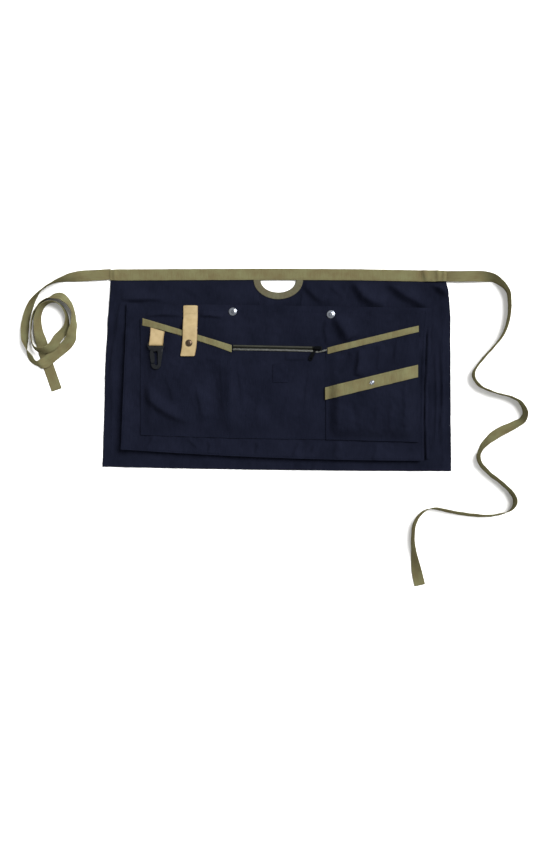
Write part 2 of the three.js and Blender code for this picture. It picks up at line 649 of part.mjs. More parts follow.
function zipSlider() {
  const { x, y, length, width, height } = SLIDER;
  const [front, half, waist] = [length / 2, width / 2, width / 4];
  const shoulder = length / 4;
  const top = CHAIN_FLOOR + height;
  const body = plate(polygon([
    [x - front, y - waist], [x - shoulder, y - half], [x + shoulder, y - half], [x + front, y - waist],
    [x + front, y + waist], [x + shoulder, y + half], [x - shoulder, y + half], [x - front, y + waist],
  ]), CHAIN_FLOOR, top);
  const bridgeLow = top + PULL.thick + 2 * GAP;
  const bridgeTop = bridgeLow + BRIDGE.thick;
  const [near, far] = [y - BRIDGE.width / 2, y + BRIDGE.width / 2];
  const [left, right] = [x - BRIDGE.half, x + BRIDGE.half];
  const bridge = plate(box(left, near, right, far), bridgeLow, bridgeTop);
  const post = plate(box(right - BRIDGE.post, near, right, far), CHAIN_FLOOR, bridgeTop);
  return toGeometry(body.add(post).add(bridge));
}

function zipPull() {
  const { x0, y0, x1, y1, width, thick, neck, shoulder, eye } = PULL;
  const length = Math.hypot(x1 - x0, y1 - y0);
  const half = width / 2;
  const tab = new THREE.Shape();
  tab.moveTo(-half / 2, neck);
  tab.lineTo(-half, shoulder);
  tab.lineTo(-half, half - length);
  tab.absarc(0, half - length, half, Math.PI, Math.PI * 2, false);
  tab.lineTo(half, shoulder);
  tab.lineTo(half / 2, neck);
  tab.holes.push(new THREE.Path().absarc(0, half - length, eye, 0, Math.PI * 2, true));
  const low = CHAIN_FLOOR + SLIDER.height + GAP;
  const flat = new THREE.ExtrudeGeometry(tab, { depth: thick, bevelEnabled: false, curveSegments: 8 });
  const turn = Math.atan2(y1 - y0, x1 - x0) + Math.PI / 2;
  return toGeometry(toSolid(flat.rotateZ(turn).translate(x0, y0, low)));
}

// Leather strap, loop and hook
const STRAP_LEVELS = {
  panel: PANEL_TOP + GAP,
  pocket: POCKET_TOP + GAP,
  binding: POCKET_TOP + 2 * GAP + TAPE,
};

function toolStrap() {
  const under = (u, v) => {
    const row = STRAP_ROWS[v];
    return new THREE.Vector3(row.x + (u - 0.5) * STRAP_WIDTH, row.y, STRAP_LEVELS[row.level]);
  };
  return drilled(wall(steps(3), STRAP_ROWS.map((_, i) => i), under, STRAP_LEATHER), [SNAPS.strap]);
}

const LOOP_FLOOR = POCKET_TOP + GAP;
const BAR_Z = LOOP_FLOOR + LOOP_LEATHER + GAP + BAR_RADIUS;
const BAR_Y = LOOP.bottom + LOOP_LEATHER + GAP + BAR_RADIUS;

function strapLoop() {
  const [inner, outer] = [BAR_RADIUS + GAP, BAR_RADIUS + GAP + LOOP_LEATHER];
  const turn = (radius, t) => {
    const angle = -Math.PI / 2 - t * Math.PI;
    return [BAR_Y + radius * Math.cos(angle), BAR_Z + radius * Math.sin(angle)];
  };
  const backTop = LOOP_FLOOR + LOOP_LEATHER;
  const beyond = BAR_Y + THROUGH;
  const section = [
    [beyond, LOOP_FLOOR], ...steps(8).map((t) => turn(outer, t)), [beyond, backTop + GAP + LOOP_LEATHER],
    [beyond, backTop + GAP], ...steps(8).reverse().map((t) => turn(inner, t)), [beyond, backTop],
  ];
  const place = (side, y, z) => {
    const across = LOOP.x + side * LOOP.width;
    const mouth = edgeY(LEFT_POCKET, 'mouth', across + LOOP.topShift);
    const bindingEdge = mouth - bindingDrop(LEFT_POCKET, POCKET_BINDING_WIDTH) - GAP;
    const height = Math.min(y, bindingEdge);
    const upward = unit((height - LOOP.bottom) / (bindingEdge - LOOP.bottom));
    const lean = lerp(LOOP.bottomShift, LOOP.topShift, upward);
    return new THREE.Vector3(across + lean, height, z);
  };
  return sweep(section, steps(3).map((t) => t - 0.5), place);
}

function hookOutline() {
  const { armOut, armIn, armTop, eye, shoulder, shoulderHalf, waist, waistHalf, tip } = HOOK;
  const shape = new THREE.Shape();
  shape.moveTo(armIn, armTop);
  shape.lineTo(armIn, eye);
  shape.lineTo(-armIn, eye);
  shape.lineTo(-armIn, armTop);
  shape.lineTo(-armOut, armTop);
  shape.lineTo(-armOut, eye);
  shape.lineTo(-shoulderHalf, shoulder);
  shape.lineTo(-waistHalf, waist);
  shape.quadraticCurveTo(-waistHalf * 0.9, tip, 0, tip);
  shape.quadraticCurveTo(waistHalf * 0.9, tip, waistHalf, waist);
  shape.lineTo(shoulderHalf, shoulder);
  shape.lineTo(armOut, eye);
  shape.lineTo(armOut, armTop);
  return shape;
}

function slotOutline() {
  const { x, half, top, bottom } = HOOK_SLOT;
  const shape = new THREE.Shape();
  shape.absarc(x, top - half, half, 0, Math.PI, false);
  shape.absarc(x, bottom + half, half, Math.PI, Math.PI * 2, false);
  return shape;
}

// The leg that the gate takes the place of, below its pivot and out to a given reach.
function gateReach(reach, top, side) {
  const leg = plate(box(-THROUGH, -THROUGH, side, top), -THROUGH, THROUGH);
  return rod(reach, GATE.x, GATE.y, -THROUGH, THROUGH, 48).intersect(leg);
}

function hookClip() {
  const barLength = HOOK.armOut + HOOK.armIn;
  const bar = new THREE.CylinderGeometry(BAR_RADIUS, BAR_RADIUS, barLength, 12).rotateZ(Math.PI / 2);
  const slot = plate(slotOutline(), -THROUGH, THROUGH);
  const frame = plate(hookOutline(), -BAR_RADIUS, BAR_RADIUS).subtract(slot);
  const cut = gateReach(GATE.reach + GATE.play, GATE.y, HOOK_SLOT.x - HOOK_SLOT.half + GATE.intoSlot);
  const socket = rod(GATE.head + GAP, GATE.x, GATE.y, -THROUGH, THROUGH, 24);
  return toGeometry(frame.subtract(cut).subtract(socket).add(toSolid(bar)));
}

function hookGate() {
  const half = GATE.thick / 2;
  const body = plate(hookOutline(), -half, half);
  const { x, y, neck: neckHalf, shoulder, head } = GATE;
  const leg = body.intersect(gateReach(GATE.reach, y - shoulder, HOOK_SLOT.x - HOOK_SLOT.half - GAP));
  const neck = plate(box(x - neckHalf, y - head - shoulder, x + neckHalf, y), -half, half);
  return toGeometry(leg.add(neck).add(rod(head, x, y, -half, half, 24)));
}

// A snap: back flange, post, stud between two layers, and a domed cap
function snapFastener({ x, y, cap }, lowUnder, lowTop, highUnder, highTop) {
  const [flange, stud] = [cap * SNAP_FLANGE.share, cap * SNAP_STUD_SHARE];
  const dome = cap * SNAP_DOME.shoulderShare;
  const [seat, studLow, studHigh, capLow] = [lowUnder - GAP, lowTop + GAP, highUnder - GAP, highTop + GAP];
  const profile = [
    [0, seat - SNAP_FLANGE.thick], [flange, seat - SNAP_FLANGE.thick], [flange, seat],
    [SNAP_POST, seat], [SNAP_POST, studLow], [stud, studLow], [stud, studHigh],
    [SNAP_POST, studHigh], [SNAP_POST, capLow], [cap, capLow], [cap, capLow + SNAP_DOME.rim],
    [dome, capLow + SNAP_DOME.shoulder], [0, capLow + SNAP_DOME.height],
  ];
  const lathe = new THREE.LatheGeometry(profile.map(([r, z]) => new THREE.Vector2(r, z)), SNAP_SIDES);
  return toGeometry(toSolid(lathe.rotateX(Math.PI / 2).translate(x, y, 0)));
}

function labelPatch() {
  const under = (u, v) => {
    const [x, y] = [lerp(LABEL.left, LABEL.right, u), lerp(LABEL.bottom, LABEL.top, v)];
    return new THREE.Vector3(x, y, zipPocketUnder(x, y) + CANVAS + LABEL.clearance);
  };
  return wall(steps(3), steps(4), under, LABEL.thick);
}

// A tie: flat tape carried along its route, turned by its lean and standing on the surface
const throughPoints = (points) => new THREE.CatmullRomCurve3(points, false, 'catmullrom', 0.5);

function tie(route) {
  const spots = throughPoints(route.map(({ x, y }) => new THREE.Vector3(x, y, 0)));
  const poses = throughPoints(route.map(({ lean, lift }) => new THREE.Vector3(lean, lift, 0)));
  const [half, thick] = [TIE_WIDTH / 2, TIE_THICK / 2];
  const section = [[-half, -thick], [half, -thick], [half, thick], [-half, thick]];
  const place = (t, across, depth) => {
    const spot = spots.getPoint(t);
    const pose = poses.getPoint(t);
    const lean = degToRad(clamp(pose.x, 0, TIE_LEAN_MOST));
    const ahead = spots.getTangent(t);
    const [flat, upright] = [Math.cos(lean), Math.sin(lean)];
    const side = new THREE.Vector3(-ahead.y * flat, ahead.x * flat, upright);
    const face = new THREE.Vector3(ahead.y * upright, -ahead.x * upright, flat);
    spot.z = half * upright + thick * Math.abs(flat) + Math.max(pose.y, 0);
    return spot.addScaledVector(side, across).addScaledVector(face, depth);
  };
  return sweep(section, steps((route.length - 1) * TIE_STEPS), place);
}

// Finishes
function finish(color, roughness, metalness = 0) {
  return new THREE.MeshStandardMaterial({ color, roughness, metalness });
}
const navyCanvas = finish(0x1c1f2e, 0.95);
const oliveTape = finish(0x7b7452, 0.9);
const tanLeather = finish(0xcbb68c, 0.7);
const nickel = finish(0xb4b9c2, 0.3, 1);
const blackMetal = finish(0x16181c, 0.45, 0.8);
const darkSnap = finish(0x4a4036, 0.4, 1);
const zipTapeCloth = finish(0x3c3d38, 0.95);
const labelCloth = finish(0x20243a, 0.9);

const apron = new THREE.Group();
function add(name, geometry, material, parent = apron) {
  const mesh = new THREE.Mesh(geometry, material);
  mesh.name = name;
  parent.add(mesh);
}

add('back_panel', backPanel(), navyCanvas);
add('waistband', waistband(), oliveTape);
add('cutout_binding', cutoutBinding(), oliveTape);
add('left_tie', tie(LEFT_TIE), oliveTape);
add('right_tie', tie(RIGHT_TIE), oliveTape);
add('pocket_panel', pocketPanel(), navyCanvas);
add('pocket_gusset', pocketGusset(), navyCanvas);
add('right_gusset', rightGusset(), navyCanvas);
const leftFront = pocketFront(LEFT_POCKET, leftPocketUnder, POCKET_ROWS);
const rightFront = pocketFront(RIGHT_POCKET, rightPocketUnder, POCKET_ROWS);
const toolFront = pocketFront(TOOL_POCKET, toolPocketUnder, TOOL_ROWS);
const toolBand = mouthBinding(TOOL_POCKET, toolPocketUnder, TOOL_BAND_WIDTH);
add('left_pocket', drilled(leftFront, [SNAPS.strap]), navyCanvas);
add('zip_pocket', pocketFront(ZIP_POCKET, zipPocketUnder, POCKET_ROWS), navyCanvas);
add('right_pocket', drilled(rightFront, [SNAPS.band]), navyCanvas);
add('tool_pocket', drilled(toolFront, [SNAPS.band]), navyCanvas);
add('left_pocket_binding', mouthBinding(LEFT_POCKET, leftPocketUnder, POCKET_BINDING_WIDTH), oliveTape);
add('right_pocket_binding', mouthBinding(RIGHT_POCKET, rightPocketUnder, POCKET_BINDING_WIDTH), oliveTape);
add('tool_pocket_band', drilled(toolBand, [SNAPS.band]), oliveTape);
add('zip_tape', zipTape(), zipTapeCloth);
add('zip_chain', zipChain(), nickel);
add('zip_slider', zipSlider(), blackMetal);
add('zip_pull', zipPull(), blackMetal);
add('strap_loop', strapLoop(), tanLeather);
add('tool_strap', toolStrap(), tanLeather);
add('label', labelPatch(), labelCloth);

const hook = new THREE.Group();
hook.position.set(LOOP.x + LOOP.bottomShift, BAR_Y, BAR_Z);
hook.rotation.x = HOOK_TILT;
apron.add(hook);
add('hook_clip', hookClip(), blackMetal, hook);
add('hook_gate', hookGate(), blackMetal, hook);

for (const name of ['left', 'right']) {
  const { x, y } = SNAPS[name];
  const skirt = skirtUnder(x, y);
  add(`${name}_snap`, snapFastener(SNAPS[name], skirt, skirt + CANVAS, PANEL_UNDER, PANEL_TOP), nickel);
}
const strapUnder = STRAP_LEVELS.binding;
const strapTop = strapUnder + STRAP_LEATHER;
add('strap_snap', snapFastener(SNAPS.strap, POCKET_TOP - CANVAS, POCKET_TOP, strapUnder, strapTop), darkSnap);
const coveredUnder = rightPocketUnder(SNAPS.band.x, SNAPS.band.y);
const toolUnder = toolPocketUnder(SNAPS.band.x, SNAPS.band.y);
const [bandUnder, bandTop] = [toolUnder - GAP - TAPE, toolUnder + CANVAS + GAP + TAPE];
add('band_snap', snapFastener(SNAPS.band, coveredUnder, coveredUnder + CANVAS, bandUnder, bandTop), nickel);

export default apron;
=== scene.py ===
# %% [markdown]
# # A canvas waist apron, lying flat
# The real object is a gardener's half apron: a navy cotton canvas skirt, a raised panel of pockets,
# olive tape on every raw edge, two long tape ties, leather straps, a snap hook, a zip and snaps.
# The CAD model is the fixed frame. It has every piece as a plain solid, in metres and in its place.
# This lesson replaces each solid by a finer surface at the same place and gives it a real finish.
# All sizes below are in millimetres, and the one helper that makes meshes turns them into metres.

# %% Load the frame
import math

import bpy
import numpy as np
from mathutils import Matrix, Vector


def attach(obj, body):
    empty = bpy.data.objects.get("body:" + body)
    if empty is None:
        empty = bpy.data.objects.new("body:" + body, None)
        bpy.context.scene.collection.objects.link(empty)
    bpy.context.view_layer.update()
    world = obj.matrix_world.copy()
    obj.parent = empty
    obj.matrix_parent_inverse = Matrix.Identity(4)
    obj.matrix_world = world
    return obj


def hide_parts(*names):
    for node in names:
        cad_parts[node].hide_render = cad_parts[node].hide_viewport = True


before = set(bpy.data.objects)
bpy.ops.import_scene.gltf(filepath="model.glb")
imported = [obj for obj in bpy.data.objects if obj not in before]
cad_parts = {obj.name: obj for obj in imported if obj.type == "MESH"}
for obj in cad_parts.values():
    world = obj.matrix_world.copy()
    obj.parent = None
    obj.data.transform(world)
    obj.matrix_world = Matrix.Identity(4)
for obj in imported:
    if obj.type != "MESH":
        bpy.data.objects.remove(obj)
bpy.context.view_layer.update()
MM = 0.001

# %% [markdown]
# ## The camera
# The photograph looks straight down. A camera with no rotation looks along -Z with +Y up, so it only
# needs a place. Its height sets how far the upright tape leans outwards in the picture, and its lens
# then follows from how much of the floor the long side of the picture covers.

# %% Camera
CAMERA_SPOT = (-2.85, -106.4, 1450.0)
FLOOR_IN_VIEW = 1615.0
SENSOR = 36.0

camera_data = bpy.data.cameras.new("photo_camera")
camera_data.sensor_width = SENSOR
camera_data.lens = SENSOR * CAMERA_SPOT[2] / FLOOR_IN_VIEW
camera = bpy.data.objects.new("photo_camera", camera_data)
camera.location = [value * MM for value in CAMERA_SPOT]
bpy.context.scene.collection.objects.link(camera)
bpy.context.scene.camera = camera
print("lens:", round(camera_data.lens, 2), "mm")

# %% [markdown]
# ## Meshes from arrays
# Every piece is a grid of points worked out at once with numpy. Faces are rows of point numbers, and
# foreach_set hands both to Blender without a Python loop over points. Each point also carries its place
# on the flat cloth in millimetres, as a UV map, so that a weave follows the cloth and not the room, and
# an amount of rub, so that the cut edges of leather can be darker than its face.

# %% Mesh helpers
CLOTH_MAP = "flat_cloth"
RUB = "rub"


def grid_quads(rows, columns, wrap=False):
    """Four point numbers for each cell of a grid; wrap joins the last column to the first."""
    number = np.arange(rows * columns).reshape(rows, columns)
    after = np.roll(number, -1, axis=1)
    if not wrap:
        number, after = number[:, :-1], after[:, :-1]
    return np.stack([number[:-1], after[:-1], after[1:], number[1:]], axis=-1).reshape(-1, 4)


def volume(points, faces):
    """Signed volume: the sum over every face's fan of triangles of a . (b x c) / 6."""
    total = 0.0
    for face in faces:
        for k in range(1, face.shape[1] - 1):
            a, b, c = points[face[:, 0]], points[face[:, k]], points[face[:, k + 1]]
            total += np.einsum("ij,ij->", a, np.cross(b, c)) / 6
    return total


def new_piece(name, points, faces, flat=None, rub=None, sharp_above=50):
    """A mesh object at the origin from points in millimetres and face arrays, turned outwards."""
    points = np.asarray(points, float).reshape(-1, 3)
    if volume(points, faces) < 0:
        faces = [face[:, ::-1] for face in faces]
    corners = np.concatenate([face.ravel() for face in faces]).astype(np.int32)
    sizes = np.concatenate([np.full(len(face), face.shape[1]) for face in faces])
    starts = (np.cumsum(sizes) - sizes).astype(np.int32)
    mesh = bpy.data.meshes.new(name)
    mesh.vertices.add(len(points))
    mesh.vertices.foreach_set("co", (points * MM).astype(np.float32).ravel())
    mesh.loops.add(len(corners))
    mesh.loops.foreach_set("vertex_index", corners)
    mesh.polygons.add(len(sizes))
    mesh.polygons.foreach_set("loop_start", starts)
    mesh.update(calc_edges=True)
    if flat is None:
        flat = points[:, :2]
    if rub is None:
        rub = np.zeros(len(points))
    layer = mesh.uv_layers.new(name=CLOTH_MAP)
    layer.data.foreach_set("uv", np.asarray(flat, np.float32).reshape(-1, 2)[corners].ravel())
    rubbed = mesh.attributes.new(RUB, "FLOAT", "POINT")
    rubbed.data.foreach_set("value", rub.astype(np.float32))
    mesh.polygons.foreach_set("use_smooth", np.ones(len(sizes), bool))
    mesh.set_sharp_from_angle(angle=math.radians(sharp_above))
    mesh.validate()
    piece = bpy.data.objects.new(name, mesh)
    bpy.context.scene.collection.objects.link(piece)
    return piece


def dress(piece, material, slot, *nodes, body="apron"):
    """Gives a piece its finish, the CAD nodes that it stands for and the body it moves with."""
    piece.data.materials.append(material)
    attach(piece, body)
    if nodes:
        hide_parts(*nodes)
    print(piece.name, len(piece.data.polygons), "faces on", body)
    return piece


def unit_vectors(vectors):
    """Each vector divided by its length."""
    return vectors / np.linalg.norm(vectors, axis=-1, keepdims=True)


def unrolled(grid):
    """Flat-cloth coordinates of a grid: mean distance along its columns and along its rows."""
    across = np.linalg.norm(np.diff(grid, axis=1), axis=-1).mean(axis=0)
    along = np.linalg.norm(np.diff(grid, axis=0), axis=-1).mean(axis=1)
    u = np.concatenate([[0], np.cumsum(across)])
    v = np.concatenate([[0], np.cumsum(along)])
    return np.stack(np.meshgrid(u, v), axis=-1)


def shell(name, top, thickness, rub=None, rounding=0.35):
    """Cloth or leather of a given thickness: the grid `top`, the same grid moved back along its normals,
    and between them a rim whose middle bulges outwards by `rounding` times the thickness."""
    rows, columns = top.shape[:2]
    normal = unit_vectors(np.cross(np.gradient(top, axis=1), np.gradient(top, axis=0)))
    under = top - thickness * normal
    number = np.arange(rows * columns).reshape(rows, columns)
    rim = np.concatenate([number[0, :-1], number[:-1, -1], number[-1, :0:-1], number[:0:-1, 0]])
    upper, lower = top.reshape(-1, 3), under.reshape(-1, 3)
    middle = (upper[rim] + lower[rim]) / 2
    along = np.roll(middle, -1, axis=0) - np.roll(middle, 1, axis=0)
    middle = middle + thickness * rounding * unit_vectors(np.cross(along, normal.reshape(-1, 3)[rim]))
    layer = rows * columns
    spot = 2 * layer + np.arange(len(rim))
    beside, rim_beside = np.roll(spot, -1), np.roll(rim, -1)
    quads = grid_quads(rows, columns)
    faces = [
        quads,
        quads[:, ::-1] + layer,
        np.stack([rim, spot, beside, rim_beside], axis=1),
        np.stack([spot, rim + layer, rim_beside + layer, beside], axis=1),
    ]
    flat = unrolled(top).reshape(-1, 2)
    rub = np.zeros(layer) if rub is None else rub.ravel()
    points = np.concatenate([upper, lower, middle])
    return new_piece(
        name, points, faces, np.concatenate([flat, flat, flat[rim]]), np.concatenate([rub, rub, rub[rim]])
    )


# %% [markdown]
# ## Finishes
# Colours are written as the sRGB hex values that a picture shows, and one function turns them into the
# linear light that shaders use. One more function adds a node, sets its values and links it, so each
# finish below reads as a short list of what the real material does to light.

# %% Node helpers
def linear(hex_code):
    """Linear RGBA of an sRGB hex colour: below 0.04045 divide by 12.92, above it the 2.4 power curve."""
    srgb = np.array([int(hex_code[i:i + 2], 16) for i in (1, 3, 5)]) / 255
    light = np.where(srgb <= 0.04045, srgb / 12.92, ((srgb + 0.055) / 1.055) ** 2.4)
    return (*light.tolist(), 1.0)


def add_node(tree, kind, values=None, links=None, **settings):
    """Adds a shader node, sets its own settings and its inputs' values, and links its inputs."""
    made = tree.nodes.new("ShaderNode" + kind)
    for key, value in settings.items():
        setattr(made, key, value)
    for socket, value in (values or {}).items():
        made.inputs[socket].default_value = value
    for socket, source in (links or {}).items():
        tree.links.new(source, made.inputs[socket])
    return made


def new_finish(name, **values):
    """A material with a Principled shader whose named inputs are set directly on their sockets."""
    material = bpy.data.materials.new(name)
    material.use_nodes = True
    surface = material.node_tree.nodes["Principled BSDF"]
    for socket, value in values.items():
        surface.inputs[socket.replace("_", " ")].default_value = value
    return material, material.node_tree, surface


# A Mix node set to colours has its factor, its two colours and its result on these sockets.
MIX_FACTOR, MIX_A, MIX_B, MIX_RESULT = 0, 6, 7, 2

# %% [markdown]
# ### Woven cotton
# Canvas and tape are spun cotton: matt, a little furry at a glancing angle, and never one flat colour,
# because yarn is thick and thin and the dye fades in patches. In plain weave the threads cross one over
# one, and in twill the crossings step sideways and draw slanting ribs. Real canvas has a thread every
# half millimetre. That is finer than a pixel of the photograph, so the weave here is drawn coarser.

# %% Woven cloth
SLUB_WIDTH, SLUB_STRETCH = 2.0, 0.12
SLUB_TONE, WEAVE_TONE, SLUB_RELIEF = 0.55, 0.12, 0.6


def woven_cotton(name, deep, mid, thread, twill=False, patch=60.0, relief=0.25):
    """Cotton cloth. The weave's height is sin(u pi / thread) sin(v pi / thread), or for twill
    sin((u + v) pi / thread). Colour goes from `deep` to `mid` by patches and slubs."""
    material, tree, surface = new_finish(
        name, Roughness=0.95, Specular_IOR_Level=0.008, Sheen_Weight=0.003, Sheen_Roughness=0.5
    )
    place = add_node(tree, "UVMap", uv_map=CLOTH_MAP)
    axes = add_node(tree, "SeparateXYZ", links={0: place.outputs[0]})
    u, v = axes.outputs[0], axes.outputs[1]
    if twill:
        slant = add_node(tree, "Math", links={0: u, 1: v}, operation="ADD")
        phase = add_node(tree, "Math", {1: math.pi / thread}, {0: slant.outputs[0]}, operation="MULTIPLY")
        weave = add_node(tree, "Math", links={0: phase.outputs[0]}, operation="SINE")
    else:
        waves = []
        for axis in (u, v):
            phase = add_node(tree, "Math", {1: math.pi / thread}, {0: axis}, operation="MULTIPLY")
            wave = add_node(tree, "Math", links={0: phase.outputs[0]}, operation="SINE")
            waves.append(wave.outputs[0])
        weave = add_node(tree, "Math", links={0: waves[0], 1: waves[1]}, operation="MULTIPLY")
    stretch = add_node(tree, "Mapping", {"Scale": (1.0, SLUB_STRETCH, 1.0)}, {"Vector": place.outputs[0]})
    slubs = add_node(
        tree, "TexNoise", {"Scale": 1 / SLUB_WIDTH, "Detail": 3.0}, {"Vector": stretch.outputs[0]}
    )
    patches = add_node(tree, "TexNoise", {"Scale": 1 / patch, "Detail": 4.0}, {"Vector": place.outputs[0]})
    tone = add_node(
        tree, "Math", {1: SLUB_TONE}, {0: slubs.outputs["Fac"], 2: patches.outputs["Fac"]},
        operation="MULTIPLY_ADD",
    )
    spread = add_node(tree, "MapRange", {"From Min": 0.5, "From Max": 1.05}, {"Value": tone.outputs[0]})
    thread_tone = add_node(
        tree, "Math", {1: WEAVE_TONE}, {0: weave.outputs[0], 2: spread.outputs[0]}, operation="MULTIPLY_ADD"
    )
    dyed = add_node(
        tree, "Mix", {MIX_A: linear(deep), MIX_B: linear(mid)}, {MIX_FACTOR: thread_tone.outputs[0]},
        data_type="RGBA",
    )
    height = add_node(
        tree, "Math", {1: SLUB_RELIEF}, {0: slubs.outputs["Fac"], 2: weave.outputs[0]},
        operation="MULTIPLY_ADD",
    )
    bump = add_node(tree, "Bump", {"Strength": 0.6, "Distance": relief * MM}, {"Height": height.outputs[0]})
    tree.links.new(dyed.outputs[MIX_RESULT], surface.inputs["Base Color"])
    tree.links.new(bump.outputs["Normal"], surface.inputs["Normal"])
    return material


navy_canvas = woven_cotton("navy_cotton_canvas", "#0B0D16", "#12141F", thread=1.4)
olive_tape = woven_cotton(
    "olive_cotton_twill_tape", "#514832", "#5E5E43", thread=1.3, twill=True, patch=30.0, relief=0.3
)
bias_tape = woven_cotton(
    "olive_bias_tape", "#453E31", "#515241", thread=1.3, twill=True, patch=30.0, relief=0.3
)
print("woven finishes:", navy_canvas.name, olive_tape.name, bias_tape.name)

# %% [markdown]
# ## The ties
# Each tie is one length of olive tape that leaves the end of the waistband flat and then rolls onto its
# edge as it curls. A tape like this is a route on the floor plus a lean: 0 degrees lies flat, 90 stands on
# edge and 180 lies flat on its other face. The route could be a Blender curve, but a curve's tilt turns
# about the curve and not about the floor, so the tape is worked out as a grid: a smooth curve through the
# table's rows, carried sideways.

# %% Tie routes
TIE_WIDTH = 20.0
TIE_THICK = 1.5
TIE_STEPS = 8
TIE_LEAN_MOST = 180.0
TIE_HOLLOW = 0.18
TIE_RIPPLE, TIE_RIPPLE_SIZE = 0.45, 26.0

# Columns: x, y, lean in degrees, lift above the floor where the tape passes over itself
LEFT_TIE_ROUTE = np.array([
    (-314.4, 179.6, 180, 1.2), (-335, 178, 180, 2.6), (-354, 177, 177, 2), (-366, 176, 166, 1.2),
    (-377, 174.4, 150, 0.6), (-388.7, 172.2, 133, 0.2), (-400, 169.4, 112, 0), (-411, 166.4, 96, 0),
    (-421, 162.8, 85, 0), (-433.7, 156.4, 78, 0), (-444.3, 148.4, 78, 0), (-453, 138.8, 88, 0),
    (-460.8, 126.6, 101, 0), (-467.8, 110, 111, 0), (-473, 91, 115, 0), (-475.2, 72, 118, 0),
    (-474.8, 53, 106, 0), (-471.6, 36, 76, 0), (-465, 21.5, 54, 0), (-457.5, 13, 60, 0.4),
    (-450.5, 9.4, 62, 1.6), (-443.5, 9, 30, 2.6), (-436, 13, 6, 2.6), (-427, 21.5, 2, 2.2),
    (-410, 35.5, 3, 0.6), (-397.5, 46.5, 8, 0), (-390, 57.3, 22, 0), (-386.5, 68, 48, 0),
    (-383, 86, 71, 0), (-383.6, 105, 87, 0), (-389.6, 119.7, 76, 0), (-398, 130, 58, 0),
    (-405, 135.8, 49, 0), (-413, 138, 46, 0), (-422, 137.2, 56, 0), (-430.5, 134, 78, 0),
    (-440, 128.5, 82, 0), (-449, 120.5, 80, 0), (-457, 108, 77, 0), (-462, 91, 75, 0),
    (-463.2, 73, 75, 0), (-462.4, 57, 76, 0.4), (-459.5, 45, 73, 3.4), (-454, 38, 70, 6.2),
    (-445, 34.6, 68, 7.2), (-431, 35.8, 60, 6.6), (-420, 44.4, 52, 5.4), (-411.8, 57.2, 52, 5.4),
    (-404.2, 66.8, 60, 2.2), (-398, 76, 70, 0), (-395.2, 88, 82, 0), (-396, 100, 88, 0),
    (-400, 110.5, 89, 0), (-406.5, 119, 89, 0), (-415, 125, 90, 0), (-424.5, 126.5, 91, 0),
    (-433.5, 124.5, 94, 0), (-441, 119, 99, 0), (-447, 110, 106, 0), (-450.5, 98, 113, 0),
    (-451, 84, 120, 0), (-449, 68, 132, 0), (-446.5, 55, 158, 0), (-444.5, 45, 176, 0),
    (-440.5, 28, 180, 0), (-434, 8, 180, 0), (-426, -15, 180, 0), (-417.5, -39.5, 180, 0),
], float)
RIGHT_TIE_ROUTE = np.array([
    (320.4, 175.8, 0, 1.2), (348, 175, 0, 5.5), (377, 175.4, 3, 4.5), (396, 174.2, 28, 0.8),
    (411.4, 170.5, 56, 0), (423, 162.7, 71, 0), (432.4, 153.8, 83, 0), (438.2, 143, 88, 0),
    (440, 128, 90, 0), (439.8, 107, 90, 0), (436, 85, 90, 0), (427, 63, 90, 0), (414, 46, 90, 0),
    (397, 27, 90, 0), (381, 8, 90, 0), (372.5, -7, 90, 0), (373.5, -19.5, 90, 0), (384, -32, 90, 0),
    (403, -42, 90, 0), (429, -49.5, 90, 0), (451, -56.5, 90, 0), (464, -68, 88, 0), (470, -84, 80, 0),
    (464, -97, 64, 0), (450, -106, 50, 0), (431, -115, 42, 0), (412, -126, 46, 0), (397, -138.5, 62, 0),
    (385.5, -153, 80, 0), (381.5, -168, 84, 0), (388.5, -184, 80, 0), (404.5, -200, 79, 0),
    (422.5, -214, 79, 0), (438.5, -228, 80, 0), (449, -243, 83, 0), (449.5, -257, 88, 0),
    (439.5, -269, 98, 0), (418, -275.5, 106, 0), (393, -278, 109, 0), (362, -275.5, 110, 0),
    (336, -271.5, 109, 0), (313.5, -266.5, 107, 0), (295.5, -263.5, 102, 0), (279.5, -268.5, 94, 0),
    (267, -280.5, 88, 0), (259.5, -297.5, 84, 0), (257.5, -321, 82, 0), (259, -343, 72, 0),
    (262, -364, 52, 0), (266, -386, 26, 0), (272, -410.5, 6, 0),
], float)


def curve_through(table, steps):
    """Catmull-Rom curve: between two rows, a cubic with end slopes of half the neighbours' difference."""
    ends = np.vstack([2 * table[0] - table[1], table, 2 * table[-1] - table[-2]])[:, None, :]
    before, start, stop, after = ends[:-3], ends[1:-2], ends[2:-1], ends[3:]
    t = (np.arange(steps) / steps)[None, :, None]
    slope_in, slope_out = (stop - before) / 2, (after - start) / 2
    cubic = (
        start + slope_in * t
        + (3 * (stop - start) - 2 * slope_in - slope_out) * t ** 2
        + (2 * (start - stop) + slope_in + slope_out) * t ** 3
    )
    return np.vstack([cubic.reshape(-1, table.shape[1]), table[-1:]])


def tie_frames(route):
    """Middle line, sideways direction and face direction of a leaning tape that stands on the floor."""
    run = curve_through(route, TIE_STEPS)
    lean = np.radians(np.clip(run[:, 2], 0, TIE_LEAN_MOST))
    ahead = unit_vectors(np.gradient(run[:, :2], axis=0))
    flat, upright = np.cos(lean), np.sin(lean)
    side = np.stack([-ahead[:, 1] * flat, ahead[:, 0] * flat, upright], axis=-1)
    face = np.stack([ahead[:, 1] * upright, -ahead[:, 0] * upright, flat], axis=-1)
    height = TIE_WIDTH / 2 * upright + TIE_THICK / 2 * np.abs(flat) + np.maximum(run[:, 3], 0)
    return np.column_stack([run[:, :2], height]), side, face


print("tie rows:", len(LEFT_TIE_ROUTE), "left and", len(RIGHT_TIE_ROUTE), "right")

